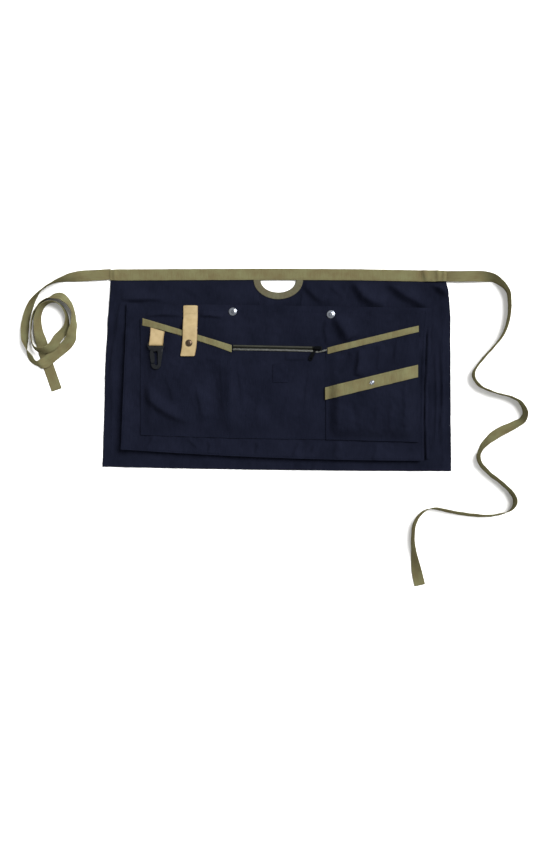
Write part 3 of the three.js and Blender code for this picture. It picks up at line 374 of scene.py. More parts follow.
# %% Tie meshes
def ripples(x, y, size, seed, waves=18):
    """Unevenness of about unit height: seeded plane waves with lengths near `size`."""
    draw = np.random.default_rng(seed)
    turn = draw.uniform(0, 2 * math.pi, waves)
    pace = 2 * math.pi / (size * draw.uniform(0.6, 1.7, waves))
    start = draw.uniform(0, 2 * math.pi, waves)
    x, y = np.broadcast_arrays(x, y)
    reach = x[..., None] * np.cos(turn) + y[..., None] * np.sin(turn)
    return np.sin(reach * pace + start).sum(axis=-1) / math.sqrt(waves / 2)


def tie(name, node, route):
    """A tape: middle line + side x across + face x (half thickness, a little less in the middle)."""
    middle, side, face = tie_frames(route)
    across = TIE_WIDTH / 2 * np.array([1, 0.96, 0.86, 0.6, 0.2, -0.2, -0.6, -0.86, -0.96, -1])
    rise = TIE_THICK / 2 - TIE_HOLLOW * np.array([0.6, 0, 0.3, 1, 1, 1, 1, 0.3, 0, 0.6])
    run = np.concatenate([[0], np.cumsum(np.linalg.norm(np.diff(middle, axis=0), axis=-1))])[:, None]
    wave = np.clip(ripples(run, across[None], TIE_RIPPLE_SIZE, 61), -1, 1)
    uneven = TIE_RIPPLE * wave * np.sin(math.pi * run / run[-1])
    risen = face[:, None] * (rise + uneven)[..., None]
    top = middle[:, None] + side[:, None] * across[None, :, None] + risen
    piece = dress(shell(name, top, 2 * rise.mean()), olive_tape, "olive_tape", node)


tie("left_tie_tape", "left_tie", LEFT_TIE_ROUTE)
tie("right_tie_tape", "right_tie", RIGHT_TIE_ROUTE)

# %% [markdown]
# ## Cloth that never lies quite flat
# A sewn apron has large folds, where cloth is pushed or stretched, and small ripples everywhere. A fold is
# written as the line of its crest, with one gentle side and one steep side, as real creases have. Ripples
# are a sum of seeded plane waves, which is the same on every run. A cloth simulation could find such folds,
# but not these particular ones.

# %% Fold helpers
GAP = 0.3
CANVAS = 1.2
TAPE = 1.1


def smooth(t):
    """Smooth step: 3 t^2 - 2 t^3 with t held between 0 and 1."""
    t = np.clip(t, 0, 1)
    return t * t * (3 - 2 * t)


def mix(a, b, t):
    """Straight blend from a to b."""
    return a + (b - a) * t


def folds(table, x, y):
    """Sum of creases, each a row (points of its crest, gentle width, steep width, height). A crease is
    height exp(-(distance to the crest / width)^2), with the steep width on the right of the crest's course,
    times sqrt(4 t (1 - t)), where t goes from 0 to 1 along the crest, so both ends die out."""
    x, y = np.broadcast_arrays(np.asarray(x, float), np.asarray(y, float))
    total = np.zeros(x.shape)
    for crest, gentle, steep, height in table:
        crest = np.asarray(crest, float)
        leg = np.diff(crest, axis=0)
        length = np.linalg.norm(leg, axis=-1)
        offset = np.stack([x, y], axis=-1)[..., None, :] - crest[:-1]
        share = np.clip((offset * leg).sum(axis=-1) / length ** 2, 0, 1)
        apart = offset - share[..., None] * leg
        nearest = np.linalg.norm(apart, axis=-1).argmin(axis=-1)[..., None]
        apart = np.take_along_axis(apart, nearest[..., None], axis=-2)[..., 0, :]
        ahead = leg[nearest[..., 0]]
        walked = np.take_along_axis(np.cumsum(length) + (share - 1) * length, nearest, axis=-1)[..., 0]
        t = walked / length.sum()
        on_left = ahead[..., 0] * apart[..., 1] > ahead[..., 1] * apart[..., 0]
        away = np.linalg.norm(apart, axis=-1) / np.where(on_left, gentle, steep)
        total = total + height * np.sqrt(np.clip(4 * t * (1 - t), 0, 1)) * np.exp(-(away ** 2))
    return total


def graded(*stretches):
    """Numbers from stretches (start, stop, step): closely spaced where detail is, widely elsewhere."""
    parts = [np.linspace(a, b, max(2, round(abs(b - a) / step) + 1))[:-1] for a, b, step in stretches]
    return np.concatenate([*parts, [stretches[-1][1]]])


# %% [markdown]
# ## The skirt
# The skirt is one piece of canvas, hemmed at its sides and bottom, with its top edge inside the
# waistband and a half-moon cut out under the band. A grid with a hole is awkward, so the top row of the
# grid dips down round the half-moon instead, hidden under the tape that binds it.

# %% Skirt shape
HEM_Y = -193.5
SKIRT_Y = np.array([HEM_Y, -100, 0, 100, 135, 164, 191])
SKIRT_LEFT = np.array([-330, -327, -325, -319, -316, -314.5, -313.5])
SKIRT_RIGHT = np.array([331.2, 330.4, 330, 329.4, 326.8, 322, 320])
HEM_LEFT_RISE = 8.4
HEM_WIDTH = 17.0
HEM_STEP = 0.7
HEM_PUCKER, HEM_PUCKER_WIDTH, HEM_PUCKER_PACE = 0.22, 1.6, 1.3
BAND_X = np.array([-315.5, -160, 0, 160, 321.5])
BAND_LOW = np.array([167.6, 168.4, 169, 168.0, 164.8])
BAND_WIDTH = 21.5
BAND_TUCK = 17.6
SLOT_X = 3.4
SLOT_HALF = 33.5
SLOT_DEPTH = 23.4
SLOT_BINDING = 12.9
SLOT_BINDING_TUCK = 6.5
TOP_RISE, RISE_FROM, RISE_RUN = TAPE + GAP, 60.0, 28.0
BAND_FADE, SLOT_FADE_FROM, SLOT_FADE_RUN = 12.0, 1.03, 0.2
SKIRT_FOLDS = [
    ([(148, 168), (154, 152), (164, 137.5), (185, 126), (206, 122)], 14, 8, 11.0),
    ([(214, 166), (223, 154.5), (242, 139), (268, 126), (290, 118)], 14, 8, 11.0),
    ([(52, 163), (59, 152), (75, 136), (92, 126)], 10, 6, 6.4),
    ([(292, 166), (308, 153), (326, 139)], 11, 6, 8.4),
    ([(-294, 131), (-262, 131.5), (-216, 132)], 9, 2.8, 5.6),
    ([(-293, 128), (-298, 100), (-303, 50)], 9, 5, 4.8),
    ([(-306, 60), (-311, 20), (-314, -20)], 8, 4, 2.8),
    ([(-311, -10), (-310, -70), (-312, -130)], 7, 4, 2.4),
    ([(312, 50), (315, -40), (313, -150)], 5, 2.6, 3.2),
    ([(301, 30), (304, -60), (301, -145)], 4, 2.4, 2.4),
    ([(309, -74), (311, -100), (307, -130)], 4, 2, 2.6),
    ([(100, 158), (112, 148), (128, 136)], 7, 3.5, 2.0),
    ([(-180, 160), (-168, 150), (-150, 138)], 9, 4, 1.7),
    ([(-80, 158), (-70, 147), (-60, 136)], 8, 4, 1.6),
]


def band_edge(x):
    """Height in the plan of the waistband's lower edge, straight between its measured points."""
    return np.interp(x, BAND_X, BAND_LOW)


def skirt_sides(y):
    """Left and right edge of the skirt at a height in the plan."""
    return np.interp(y, SKIRT_Y, SKIRT_LEFT), np.interp(y, SKIRT_Y, SKIRT_RIGHT)


def hem_line(x):
    """Bottom edge, which rises at the left as the square of the distance from the right corner."""
    u = (x - SKIRT_LEFT[0]) / (SKIRT_RIGHT[0] - SKIRT_LEFT[0])
    return HEM_Y + HEM_LEFT_RISE * np.clip(1 - u, 0, 1) ** 2


def top_rise(y):
    """Height of the skirt's underside, which climbs onto the waistband's back leaf towards the top."""
    return TOP_RISE * np.clip((y - RISE_FROM) / RISE_RUN, 0, 1)


def skirt_top(x, y):
    """Upper face of the skirt: thickness + rise to the band + folds + ripples + the hem's second layer.
    Folds and ripples fade out under the waistband and under the tape round the half-moon."""
    left, right = skirt_sides(y)
    slot_reach = np.hypot(
        (x - SLOT_X) / (SLOT_HALF + SLOT_BINDING), (band_edge(SLOT_X) - y) / (SLOT_DEPTH + SLOT_BINDING)
    )
    off_slot = smooth((slot_reach - SLOT_FADE_FROM) / SLOT_FADE_RUN)
    fade = np.clip((band_edge(x) - y) / BAND_FADE, 0, 1) * off_slot
    inside = np.minimum(np.minimum(x - left, right - x), y - hem_line(x))
    hem = HEM_STEP * smooth((HEM_WIDTH - inside) / 2 + 0.5)
    at_seam = np.exp(-(((inside - HEM_WIDTH + 2) / HEM_PUCKER_WIDTH) ** 2))
    pucker = HEM_PUCKER * at_seam * (1 + 0.6 * np.sin((x + y) / HEM_PUCKER_PACE))
    slow = np.clip(0.5 * (1 + ripples(x, y, 42, 3)), 0, None)
    quick = 0.25 * np.clip(1 + ripples(x, y, 13, 4), 0, None)
    return CANVAS + top_rise(y) + fade * (folds(SKIRT_FOLDS, x, y) + 0.9 * (slow + quick)) + hem - pucker


def slot_arc(x, outward):
    """Lower half of the ellipse round the half-moon slot, widened by `outward`, and where it is."""
    across = (x - SLOT_X) / (SLOT_HALF + outward)
    top = band_edge(SLOT_X) - GAP
    return top - (SLOT_DEPTH + outward) * np.sqrt(np.clip(1 - across ** 2, 0, 1)), np.abs(across) < 1


# %% Skirt mesh
skirt_u = graded(
    (0, 0.05, 0.0026), (0.05, 0.44, 0.006), (0.44, 0.57, 0.004), (0.57, 0.95, 0.0032), (0.95, 1, 0.0026)
)
skirt_v = graded((0, 0.09, 0.006), (0.09, 0.78, 0.018), (0.78, 1, 0.006))
U, V = np.meshgrid(skirt_u, skirt_v)
rough_x = mix(SKIRT_LEFT[0], SKIRT_RIGHT[0], U)
arc, in_slot = slot_arc(rough_x, SLOT_BINDING_TUCK)
skirt_head = np.where(in_slot, arc, band_edge(rough_x) + BAND_TUCK)
Y = mix(hem_line(rough_x), skirt_head, V)
left_side, right_side = skirt_sides(Y)
X = mix(left_side, right_side, U)
skirt_grid = np.stack([X, Y, skirt_top(X, Y)], axis=-1)
skirt = dress(shell("skirt_cloth", skirt_grid, CANVAS), navy_canvas, "navy_canvas", "back_panel")

# %% [markdown]
# ## Folded tape
# The waistband, the edge of the half-moon and the pocket mouths are all bound the same way: a tape is
# folded in half over the raw cloth edge and sewn through. Seen from its end it is a narrow U. So one
# helper gives the U as a profile of distance from the edge and height, and each binding carries that
# profile along its own edge.

# %% Binding profile
FOLD_OVER = 1.4
LEAF_STEPS = 9


def binding_profile(front, back):
    """Outer line of a folded tape: along the front leaf to the fold, half a circle, and along the back leaf.
    Returned as distance outwards from the cloth edge (negative inside it) and height above its underside."""
    high, low = CANVAS + GAP + TAPE, -GAP - TAPE
    radius = (high - low) / 2
    turn = np.linspace(math.pi / 2, -math.pi / 2, LEAF_STEPS)[1:-1]
    leaf = np.linspace(1, 0, LEAF_STEPS)
    centre = FOLD_OVER - radius
    front_leaf, back_leaf = -leaf * (front - FOLD_OVER + centre), -leaf[::-1] * (back + centre)
    across = np.concatenate([front_leaf, radius * np.cos(turn), back_leaf]) + centre
    bend = (high + low) / 2 + radius * np.sin(turn)
    height = np.concatenate([np.full(LEAF_STEPS, high), bend, np.full(LEAF_STEPS, low)])
    return across, height


def tape_wobble(along, seed):
    """A sewn tape wavers a little in its height and at its edge."""
    return 0.22 * ripples(along, 0 * along, 24, seed) + 0.1 * ripples(along, 0 * along, 8, seed + 1)


# %% Waistband
BAND_NARROWING, NARROW_FROM, NARROW_RUN = 0.07, 298, 16
BAND_GAPE, GAPE_FROM, GAPE_RUN = 2.6, 276, 26
BAND_CREASES = [
    ([(276, 192), (285, 164)], 8, 3.4, 3.4),
    ([(303, 192), (306, 163)], 8, 3, 3.0),
    ([(316, 192), (316, 163)], 5, 2.2, 2.6),
    ([(-308, 193), (-307, 166)], 5, 2, 1.9),
]
band_across, band_height = binding_profile(BAND_WIDTH, BAND_WIDTH - FOLD_OVER)
band_x = np.linspace(BAND_X[0], BAND_X[-1], 321)
band_wave = np.clip(tape_wobble(band_x, 21), -0.3, 0.5)
band_narrow = 1 - BAND_NARROWING * smooth((np.abs(band_x) - NARROW_FROM) / NARROW_RUN)
band_half = BAND_WIDTH / 2
from_middle = (band_half - FOLD_OVER + band_across[:, None]) * band_narrow
band_y = band_edge(band_x) + band_half + from_middle + 0.25 * band_wave
band_creases = folds(BAND_CREASES, band_x, band_y)
band_gape = BAND_GAPE * smooth((band_x - GAPE_FROM) / GAPE_RUN)
on_front = band_height[:, None] > 0
waistband_grid = np.stack([
    np.broadcast_to(band_x, band_y.shape), band_y,
    TOP_RISE + band_height[:, None] + on_front * (0.4 * np.abs(band_wave) + band_creases + band_gape),
], axis=-1)
waistband = dress(shell("waistband_tape", waistband_grid, TAPE), olive_tape, "olive_tape", "waistband")

# %% Half-moon binding
slot_across, slot_height = binding_profile(SLOT_BINDING, SLOT_BINDING - FOLD_OVER)
slot_turn = np.linspace(math.pi, 2 * math.pi, 97)
slot_out = FOLD_OVER - slot_across[:, None]
slot_pucker = 0.25 * np.sin(slot_turn * 34) * smooth(slot_out / SLOT_BINDING) * (slot_height[:, None] > 0)
slot_grid = np.stack([
    SLOT_X + (SLOT_HALF + slot_out) * np.cos(slot_turn),
    band_edge(SLOT_X) - GAP + (SLOT_DEPTH + slot_out) * np.sin(slot_turn),
    TOP_RISE + slot_height[:, None] + slot_pucker,
], axis=-1)
slot_binding = dress(shell("slot_binding_tape", slot_grid, TAPE), bias_tape, "olive_tape", "cutout_binding")

# %% [markdown]
# ## The raised panel and its bellows
# The pocket panel stands off the skirt on pleated strips, so its left and bottom edges throw the hard
# dark line of the photograph. Its plan is a four-cornered patch with a bowed bottom and right edge. The
# strips are a pleat's profile carried round the rim: it folds inwards at the left and bottom and outwards at
# the right.

# %% Panel shape
PANEL_UNDER = 8.5
PANEL_TOP = PANEL_UNDER + CANVAS
PANEL_TL, PANEL_TR = np.array([-282.7, 122.9]), np.array([285, 114.6])
PANEL_BL, PANEL_BR = np.array([-292, -152.2]), np.array([278, -173.7])
BOTTOM_BOW, RIGHT_BOW = -5, -4
LEFT_LIFT, LEFT_LIFT_WIDTH, LEFT_LIFT_TOP, LEFT_LIFT_RUN = 8.0, 15, 90, 190
BOTTOM_LIFT, BOTTOM_LIFT_WIDTH = 4.2, 12
PANEL_FOLDS = [
    ([(-145, 100), (-126, 100), (-102, 97)], 10, 2.3, 4.8),
    ([(-246, 100), (-216, 102), (-179, 100)], 9, 2.3, 3.8),
    ([(110, 99), (121, 80), (138, 54)], 13, 9, 12.0),
    ([(95, 94), (92, 72), (97, 44)], 8, 4, 3.8),
    ([(-270, 84), (-276, 30), (-276, -50)], 6, 4, -1.6),
    ([(274, 60), (271, -20), (270, -100)], 5, 3, -1.5),
]
PANEL_PUCKERS = [
    ([(-168, -131), (-157, -141), (-147, -152)], 6, 2.8, 3.4),
    ([(-127, -134), (-125, -146), (-127, -160)], 6, 2.8, 3.4),
    ([(44, -138), (39, -151), (33, -164)], 6, 3, 3.0),
    ([(190, -142), (188, -156), (182, -172)], 6, 3, 2.8),
    ([(-230, -128), (-237, -139), (-246, -152)], 6, 3, 2.4),
    ([(-40, -136), (-35, -148), (-38, -162)], 6, 3, 2.4),
    ([(119, -140), (113, -154), (110, -168)], 9, 6, 4.2),
    ([(76, -140), (70, -150), (68, -160)], 6, 3, 2.2),
]


def panel_spot(u, v):
    """Plan of the panel: a bilinear patch of its corners, plus a bow 4 t (1 - t) at the bottom and right."""
    u, v = np.broadcast_arrays(np.asarray(u, float), np.asarray(v, float))
    low = mix(PANEL_BL, PANEL_BR, u[..., None])
    spot = mix(low, mix(PANEL_TL, PANEL_TR, u[..., None]), v[..., None])
    bow = np.stack([u * RIGHT_BOW * 4 * v * (1 - v), (1 - v) * BOTTOM_BOW * 4 * u * (1 - u)], axis=-1)
    return spot + bow


def panel_lift(x, y):
    """The left edge gapes more and more towards the bottom, and the bottom edge a little all along."""
    from_left = x - np.interp(y, [PANEL_BL[1], PANEL_TL[1]], [PANEL_BL[0], PANEL_TL[0]])
    u = (x - PANEL_BL[0]) / (PANEL_BR[0] - PANEL_BL[0])
    from_bottom = y - mix(PANEL_BL[1], PANEL_BR[1], u) - BOTTOM_BOW * 4 * u * (1 - u)
    gape = LEFT_LIFT * mix(0.2, 1, smooth((LEFT_LIFT_TOP - y) / LEFT_LIFT_RUN))
    at_left = np.exp(-((from_left / LEFT_LIFT_WIDTH) ** 2))
    return gape * at_left + BOTTOM_LIFT * np.exp(-((from_bottom / BOTTOM_LIFT_WIDTH) ** 2))


def panel_top(x, y):
    """Upper face of the panel: level + lift of its edges + folds + puckers + ripples that mostly sink."""
    sink = np.clip(0.4 * (ripples(x, y, 38, 11) - 1) + 0.2 * ripples(x, y, 11, 12), -1.2, 0.15)
    return PANEL_TOP + panel_lift(x, y) + folds(PANEL_FOLDS + PANEL_PUCKERS, x, y) + sink


# %% Panel mesh
panel_u = graded((0, 0.06, 0.0035), (0.06, 0.94, 0.0045), (0.94, 1, 0.0035))
panel_v = graded((0, 0.2, 0.008), (0.2, 0.62, 0.02), (0.62, 1, 0.0065))
U, V = np.meshgrid(panel_u, panel_v)
panel_plan = panel_spot(U, V)
panel_x, panel_y = panel_plan[..., 0], panel_plan[..., 1]
edge_droop = 0.5 * (np.exp(-U / 0.006) + np.exp(-(1 - U) / 0.006) + np.exp(-V / 0.01))
panel_grid = np.stack([panel_x, panel_y, panel_top(panel_x, panel_y) - edge_droop], axis=-1)
panel = dress(shell("raised_panel_cloth", panel_grid, CANVAS), navy_canvas, "navy_canvas", "pocket_panel")

# %% Bellows strips
GUSSET_CLOTH = 0.9
OFF_SKIRT, OFF_PANEL = 0.5, 1.0
PLEAT_OPENS_AT, PLEAT_OPENING = 92.0, 40.0

# Across from the panel's rim, and height from the skirt (0) to the panel's underside (1)
INWARD_PLEAT = np.array([(-1.5, 1), (-7.5, 0.86), (-12, 0.6), (-12, 0.4), (-7.5, 0.14), (-1.5, 0)])
OUTWARD_PLEAT = np.array([
    (-1.5, 1), (0.4, 0.6), (1.5, 0.16), (2.6, 0.06), (4.2, 0.34), (6.2, 0.72), (8, 0.66), (9.8, 0.26),
    (11.2, 0),
])


def bellows(name, node, u, v, pleat, opens_at=None):
    """A pleated strip along the panel's rim: a smooth line through the pleat's points, whose heights are
    shared out between the skirt and the panel's underside, rippled a little along its length. Towards and
    above `opens_at` in the plan the pleat is pulled straight, so its heights go evenly from 1 to 0."""
    path = panel_spot(u, v)
    ahead = unit_vectors(np.gradient(path, axis=0))
    outward = np.stack([ahead[:, 1], -ahead[:, 0]], axis=-1)
    length = np.concatenate([[0], np.cumsum(np.linalg.norm(np.diff(path, axis=0), axis=-1))])
    section = curve_through(pleat, 4)
    across = section[:, :1] * (1 + 0.08 * ripples(length, 0 * length, 40, 31))
    spot = path[None] + across[..., None] * outward[None]
    low = skirt_top(spot[..., 0], spot[..., 1]) + OFF_SKIRT
    high = panel_top(path[:, 0], path[:, 1]) - CANVAS - GAP - OFF_PANEL
    level = section[:, 1:]
    if opens_at is not None:
        straight = np.linspace(1, 0, len(section))[:, None]
        level = mix(straight, level, smooth((opens_at - path[:, 1]) / PLEAT_OPENING))
    grid = np.concatenate([spot, mix(low, high, level)[..., None]], axis=-1)
    return dress(shell(name, grid, GUSSET_CLOTH), navy_canvas, "navy_canvas", node)


down, along = np.linspace(1, 0, 90), np.linspace(0, 0.994, 160)[1:]
rim_u = np.concatenate([0 * down, along])
rim_v = np.concatenate([down, 0 * along])
bellows_left = bellows("bellows_left_and_bottom", "pocket_gusset", rim_u, rim_v, INWARD_PLEAT)
up = np.linspace(0.012, 1, 112)
bellows_right = bellows("bellows_right", "right_gusset", 1 + 0 * up, up, OUTWARD_PLEAT, PLEAT_OPENS_AT)

# %% [markdown]
# ## The front pockets
# The front layer is sewn down along its sides and bottom, so each pocket is a low pillow that is open at
# its mouth: height is zero at the seams and rises smoothly to a puff of a few millimetres. The folds of
# each pocket ride on that puff and die out at the seams.

# %% Pocket shapes
FRONT_FLOOR = PANEL_TOP + GAP
LEFT_RUN = 19.0
SEAM_RUN = 28.0
BOTTOM_RUN = 45.0
MOUTH_LIFT, MOUTH_LIFT_FROM, MOUTH_LIFT_RUN = TAPE + GAP, 26, 12
LEFT_PUFF, RIGHT_PUFF, TOOL_PUFF = 6, 6, 8.6
ZIP_PUFF_MOUTH, ZIP_PUFF_BELLY = 1.6, 3.6
SWELL_FROM, SWELL_RUN = 25, 35
TOOL_CLEARANCE = 0.6
RIDGE_HEIGHT, RIDGE_LEFT, RIDGE_RIGHT = 9.0, 13.0, 15.0
RIDGE_TOP, RIDGE_TOP_RUN, RIDGE_BOTTOM, RIDGE_BOTTOM_RUN = 28, 32, -128, 34

# Each pocket: left and right seams, then the left and right heights of its bottom and of its mouth
LEFT_POCKET = dict(sides=(-256.3, -89.2), bottom=(-125.2, -130.8), mouth=(94.7, 44.4))
ZIP_POCKET = dict(sides=(-88.7, 92.7), bottom=(-130.8, -133.6), mouth=(33.6, 29.6))
RIGHT_POCKET = dict(sides=(93.2, 267.5), bottom=(-133.6, -138.3), mouth=(37.4, 79.6))
TOOL_POCKET = dict(RIGHT_POCKET, mouth=(-36.6, 6), left_run=21.0, bottom_run=24.0)
LEFT_FOLDS = [
    ([(-262, -32), (-246, -49), (-222, -71), (-188, -92), (-158, -104)], 14, 8, 8.6),
    ([(-206, -18), (-196, -44), (-192, -66)], 10, 4.5, 2.6),
    ([(-122, 16), (-119, -50), (-115, -124)], 14, 11, -5.6),
    ([(-150, -30), (-143, -66), (-138, -100)], 9, 4, 2.4),
    ([(-243, 30), (-244, 0), (-240, -28)], 6, 4, -1.8),
    ([(-104, 20), (-102, -30), (-98, -90)], 5, 3, 1.8),
]
RIGHT_FOLDS = [
    ([(157, 36), (155, 12), (150, -14)], 11, 5, 7.0),
    ([(138, 28), (126, 10), (111, -10)], 7, 5, -3.6),
    ([(228, 56), (224, 30), (222, 8)], 7, 3.5, 2.4),
    ([(196, 44), (193, 20), (190, -4)], 8, 4, 2.0),
]
TOOL_FOLDS = [
    ([(138, -62), (146, -92), (150, -124)], 9, 5, -2.2),
    ([(238, -34), (241, -70), (238, -110)], 8, 4, 2.2),
    ([(190, -54), (188, -80), (184, -112)], 10, 5, 2.0),
    ([(216, -60), (212, -90), (214, -120)], 8, 4, 1.5),
]
ZIP_FOLDS = [
    ([(-74, 14), (-66, -30), (-62, -80)], 8, 4, 2.0),
    ([(16, 18), (36, 17.5), (58, 19)], 7, 2.6, 2.2),
    ([(64, 0), (57, -40), (54, -84)], 8, 4, 1.9),
    ([(24, -50), (14, -84), (12, -116)], 9, 5, 1.6),
    ([(-30, -40), (-36, -76), (-34, -112)], 9, 5, 1.3),
]


def across_share(pocket, x):
    """How far x is from the pocket's left seam to its right seam, from 0 to 1."""
    left, right = pocket["sides"]
    return (x - left) / (right - left)


def edge_y(pocket, edge, x):
    """Height in the plan of a slanting edge at x."""
    return mix(*pocket[edge], across_share(pocket, x))


def seam_rise(pocket, x):
    """0 at both side seams and 1 away from them, rising quicker at the left, where the cloth is pushed."""
    left, right = pocket["sides"]
    return smooth((x - left - 3) / pocket.get("left_run", LEFT_RUN)) * smooth((right - x) / SEAM_RUN)


def bottom_rise(pocket, x, y):
    """0 at the bottom seam and 1 away from it."""
    return smooth((y - edge_y(pocket, "bottom", x)) / pocket.get("bottom_run", BOTTOM_RUN))


def pocket_lift(pocket, puff, x, y):
    """Puff between the seams, and at the seams the small lift of the tape's back leaf near the mouth."""
    from_mouth = edge_y(pocket, "mouth", x) - y
    seam_lift = MOUTH_LIFT * np.clip((MOUTH_LIFT_FROM - from_mouth) / MOUTH_LIFT_RUN, 0, 1)
    return mix(seam_lift, puff * bottom_rise(pocket, x, y), seam_rise(pocket, x))


def sinking(x, y, seed):
    """Small ripples that only lower the cloth, so that nothing lying on it is pierced."""
    slow = 0.45 * (ripples(x, y, 34, seed) - 1.1)
    quick = 0.2 * (ripples(x, y, 12, seed + 1) - 0.6)
    return np.clip(slow + quick, -1.8, 0)


def seam_ridge(x, y):
    """The seam between the left and middle pockets is pushed up into a ridge, whose left flank is in shade:
    height exp(-(distance / width)^2), which dies out at the zip and at the bottom seam."""
    away = x - ZIP_POCKET["sides"][0]
    shape = np.exp(-((away / np.where(away < 0, RIDGE_LEFT, RIDGE_RIGHT)) ** 2))
    below_zip = smooth((RIDGE_TOP - y) / RIDGE_TOP_RUN)
    return RIDGE_HEIGHT * shape * below_zip * smooth((y - RIDGE_BOTTOM) / RIDGE_BOTTOM_RUN)


def left_under(x, y):
    """Underside of the left pocket's front."""
    puff = np.maximum(LEFT_PUFF + folds(LEFT_FOLDS, x, y) + sinking(x, y, 41), 0.8)
    return FRONT_FLOOR + pocket_lift(LEFT_POCKET, puff, x, y) + seam_ridge(x, y)


def zip_under(x, y):
    """Underside of the middle pocket's front: lowest under the zip, fuller in its belly."""
    from_mouth = edge_y(ZIP_POCKET, "mouth", x) - y
    fullness = mix(ZIP_PUFF_MOUTH, ZIP_PUFF_BELLY, smooth(from_mouth / BOTTOM_RUN))
    puff = fullness + folds(ZIP_FOLDS, x, y) + 0.6 * sinking(x, y, 43)
    belly = np.maximum(puff, 0.3) * seam_rise(ZIP_POCKET, x) * bottom_rise(ZIP_POCKET, x, y)
    return FRONT_FLOOR + belly + seam_ridge(x, y)


def right_under(x, y):
    """Underside of the right pocket's front: flatter where the tool pocket covers it."""
    swell = smooth((y - edge_y(TOOL_POCKET, "mouth", x) - SWELL_FROM) / SWELL_RUN)
    puff = RIGHT_PUFF * mix(0.7, 1, swell) + folds(RIGHT_FOLDS, x, y) + swell * sinking(x, y, 45)
    return FRONT_FLOOR + pocket_lift(RIGHT_POCKET, puff, x, y)


def tool_under(x, y):
    """Underside of the tool pocket's front, above the right pocket's front."""
    puff = TOOL_PUFF + folds(TOOL_FOLDS, x, y) + sinking(x, y, 47)
    return right_under(x, y) + CANVAS + TOOL_CLEARANCE + pocket_lift(TOOL_POCKET, puff, x, y)


# %% Pocket meshes
def pocket_front(name, node, pocket, under):
    """A pocket's front: x across its seams, y from its bottom to its mouth, z from its height function."""
    share_u = graded((0, 0.12, 0.008), (0.12, 0.88, 0.01), (0.88, 1, 0.008))
    share_v = graded((0, 0.14, 0.01), (0.14, 1, 0.0095))
    u, v = np.meshgrid(share_u, share_v)
    x = mix(*pocket["sides"], u)
    y = mix(edge_y(pocket, "bottom", x), edge_y(pocket, "mouth", x), v)
    grid = np.stack([x, y, under(x, y) + CANVAS], axis=-1)
    return dress(shell(name, grid, CANVAS), navy_canvas, "navy_canvas", node)


left_front = pocket_front("left_pocket_cloth", "left_pocket", LEFT_POCKET, left_under)
zip_front = pocket_front("zip_pocket_cloth", "zip_pocket", ZIP_POCKET, zip_under)
right_front = pocket_front("right_pocket_cloth", "right_pocket", RIGHT_POCKET, right_under)
tool_front = pocket_front("tool_pocket_cloth", "tool_pocket", TOOL_POCKET, tool_under)

# %% Mouth bindings
POCKET_BINDING = 13.2
RIGHT_BINDING = 11.6
LEFT_ROLL = 0.24
TOOL_BAND = 22.6
BACK_LEAF = 9
BINDING_STEPS = 111


def mouth_slope(pocket):
    """Slant of a pocket's mouth in the plan."""
    return math.atan2(pocket["mouth"][1] - pocket["mouth"][0], pocket["sides"][1] - pocket["sides"][0])


def mouth_binding(name, node, pocket, under, front, seed, ends=(0, 0), roll=0.0):
    """The folded tape's profile carried along a pocket's mouth, at the height of the cloth edge there.
    `ends` moves its ends along, and `roll` narrows the front leaf by 1 - roll (1 - t^2), where t goes from
    -1 to 1 along the mouth."""
    upright = 1 / math.cos(mouth_slope(pocket))
    across, height = binding_profile(front * upright, BACK_LEAF)
    left, right = pocket["sides"]
    x = np.linspace(left + ends[0], right + ends[1], BINDING_STEPS)
    y = edge_y(pocket, "mouth", x)
    t = np.linspace(-1, 1, BINDING_STEPS)
    leaf = np.where((height > CANVAS)[:, None], 1 - roll * (1 - t ** 2), 1)
    wave = np.clip(tape_wobble(x, seed), -0.4, 0.4)
    grid = np.stack([
        np.broadcast_to(x, (len(across), len(x))),
        y + across[:, None] * leaf + 0.5 * wave * (across[:, None] < -3) * (height[:, None] > 0),
        under(x, y) + height[:, None] - 0.25 * np.abs(wave) * (height[:, None] > 0),
    ], axis=-1)
    return dress(shell(name, grid, TAPE), olive_tape, "olive_tape", node)


left_binding = mouth_binding(
    "left_mouth_tape", "left_pocket_binding", LEFT_POCKET, left_under, POCKET_BINDING, 51, (4.2, 4.4),
    LEFT_ROLL,
)
right_binding = mouth_binding(
    "right_mouth_tape", "right_pocket_binding", RIGHT_POCKET, right_under, RIGHT_BINDING, 53, (3.2, 0)
)
tool_band = mouth_binding(
    "tool_mouth_band", "tool_pocket_band", TOOL_POCKET, tool_under, TOOL_BAND, 55, (-1.6, -1.6)
)
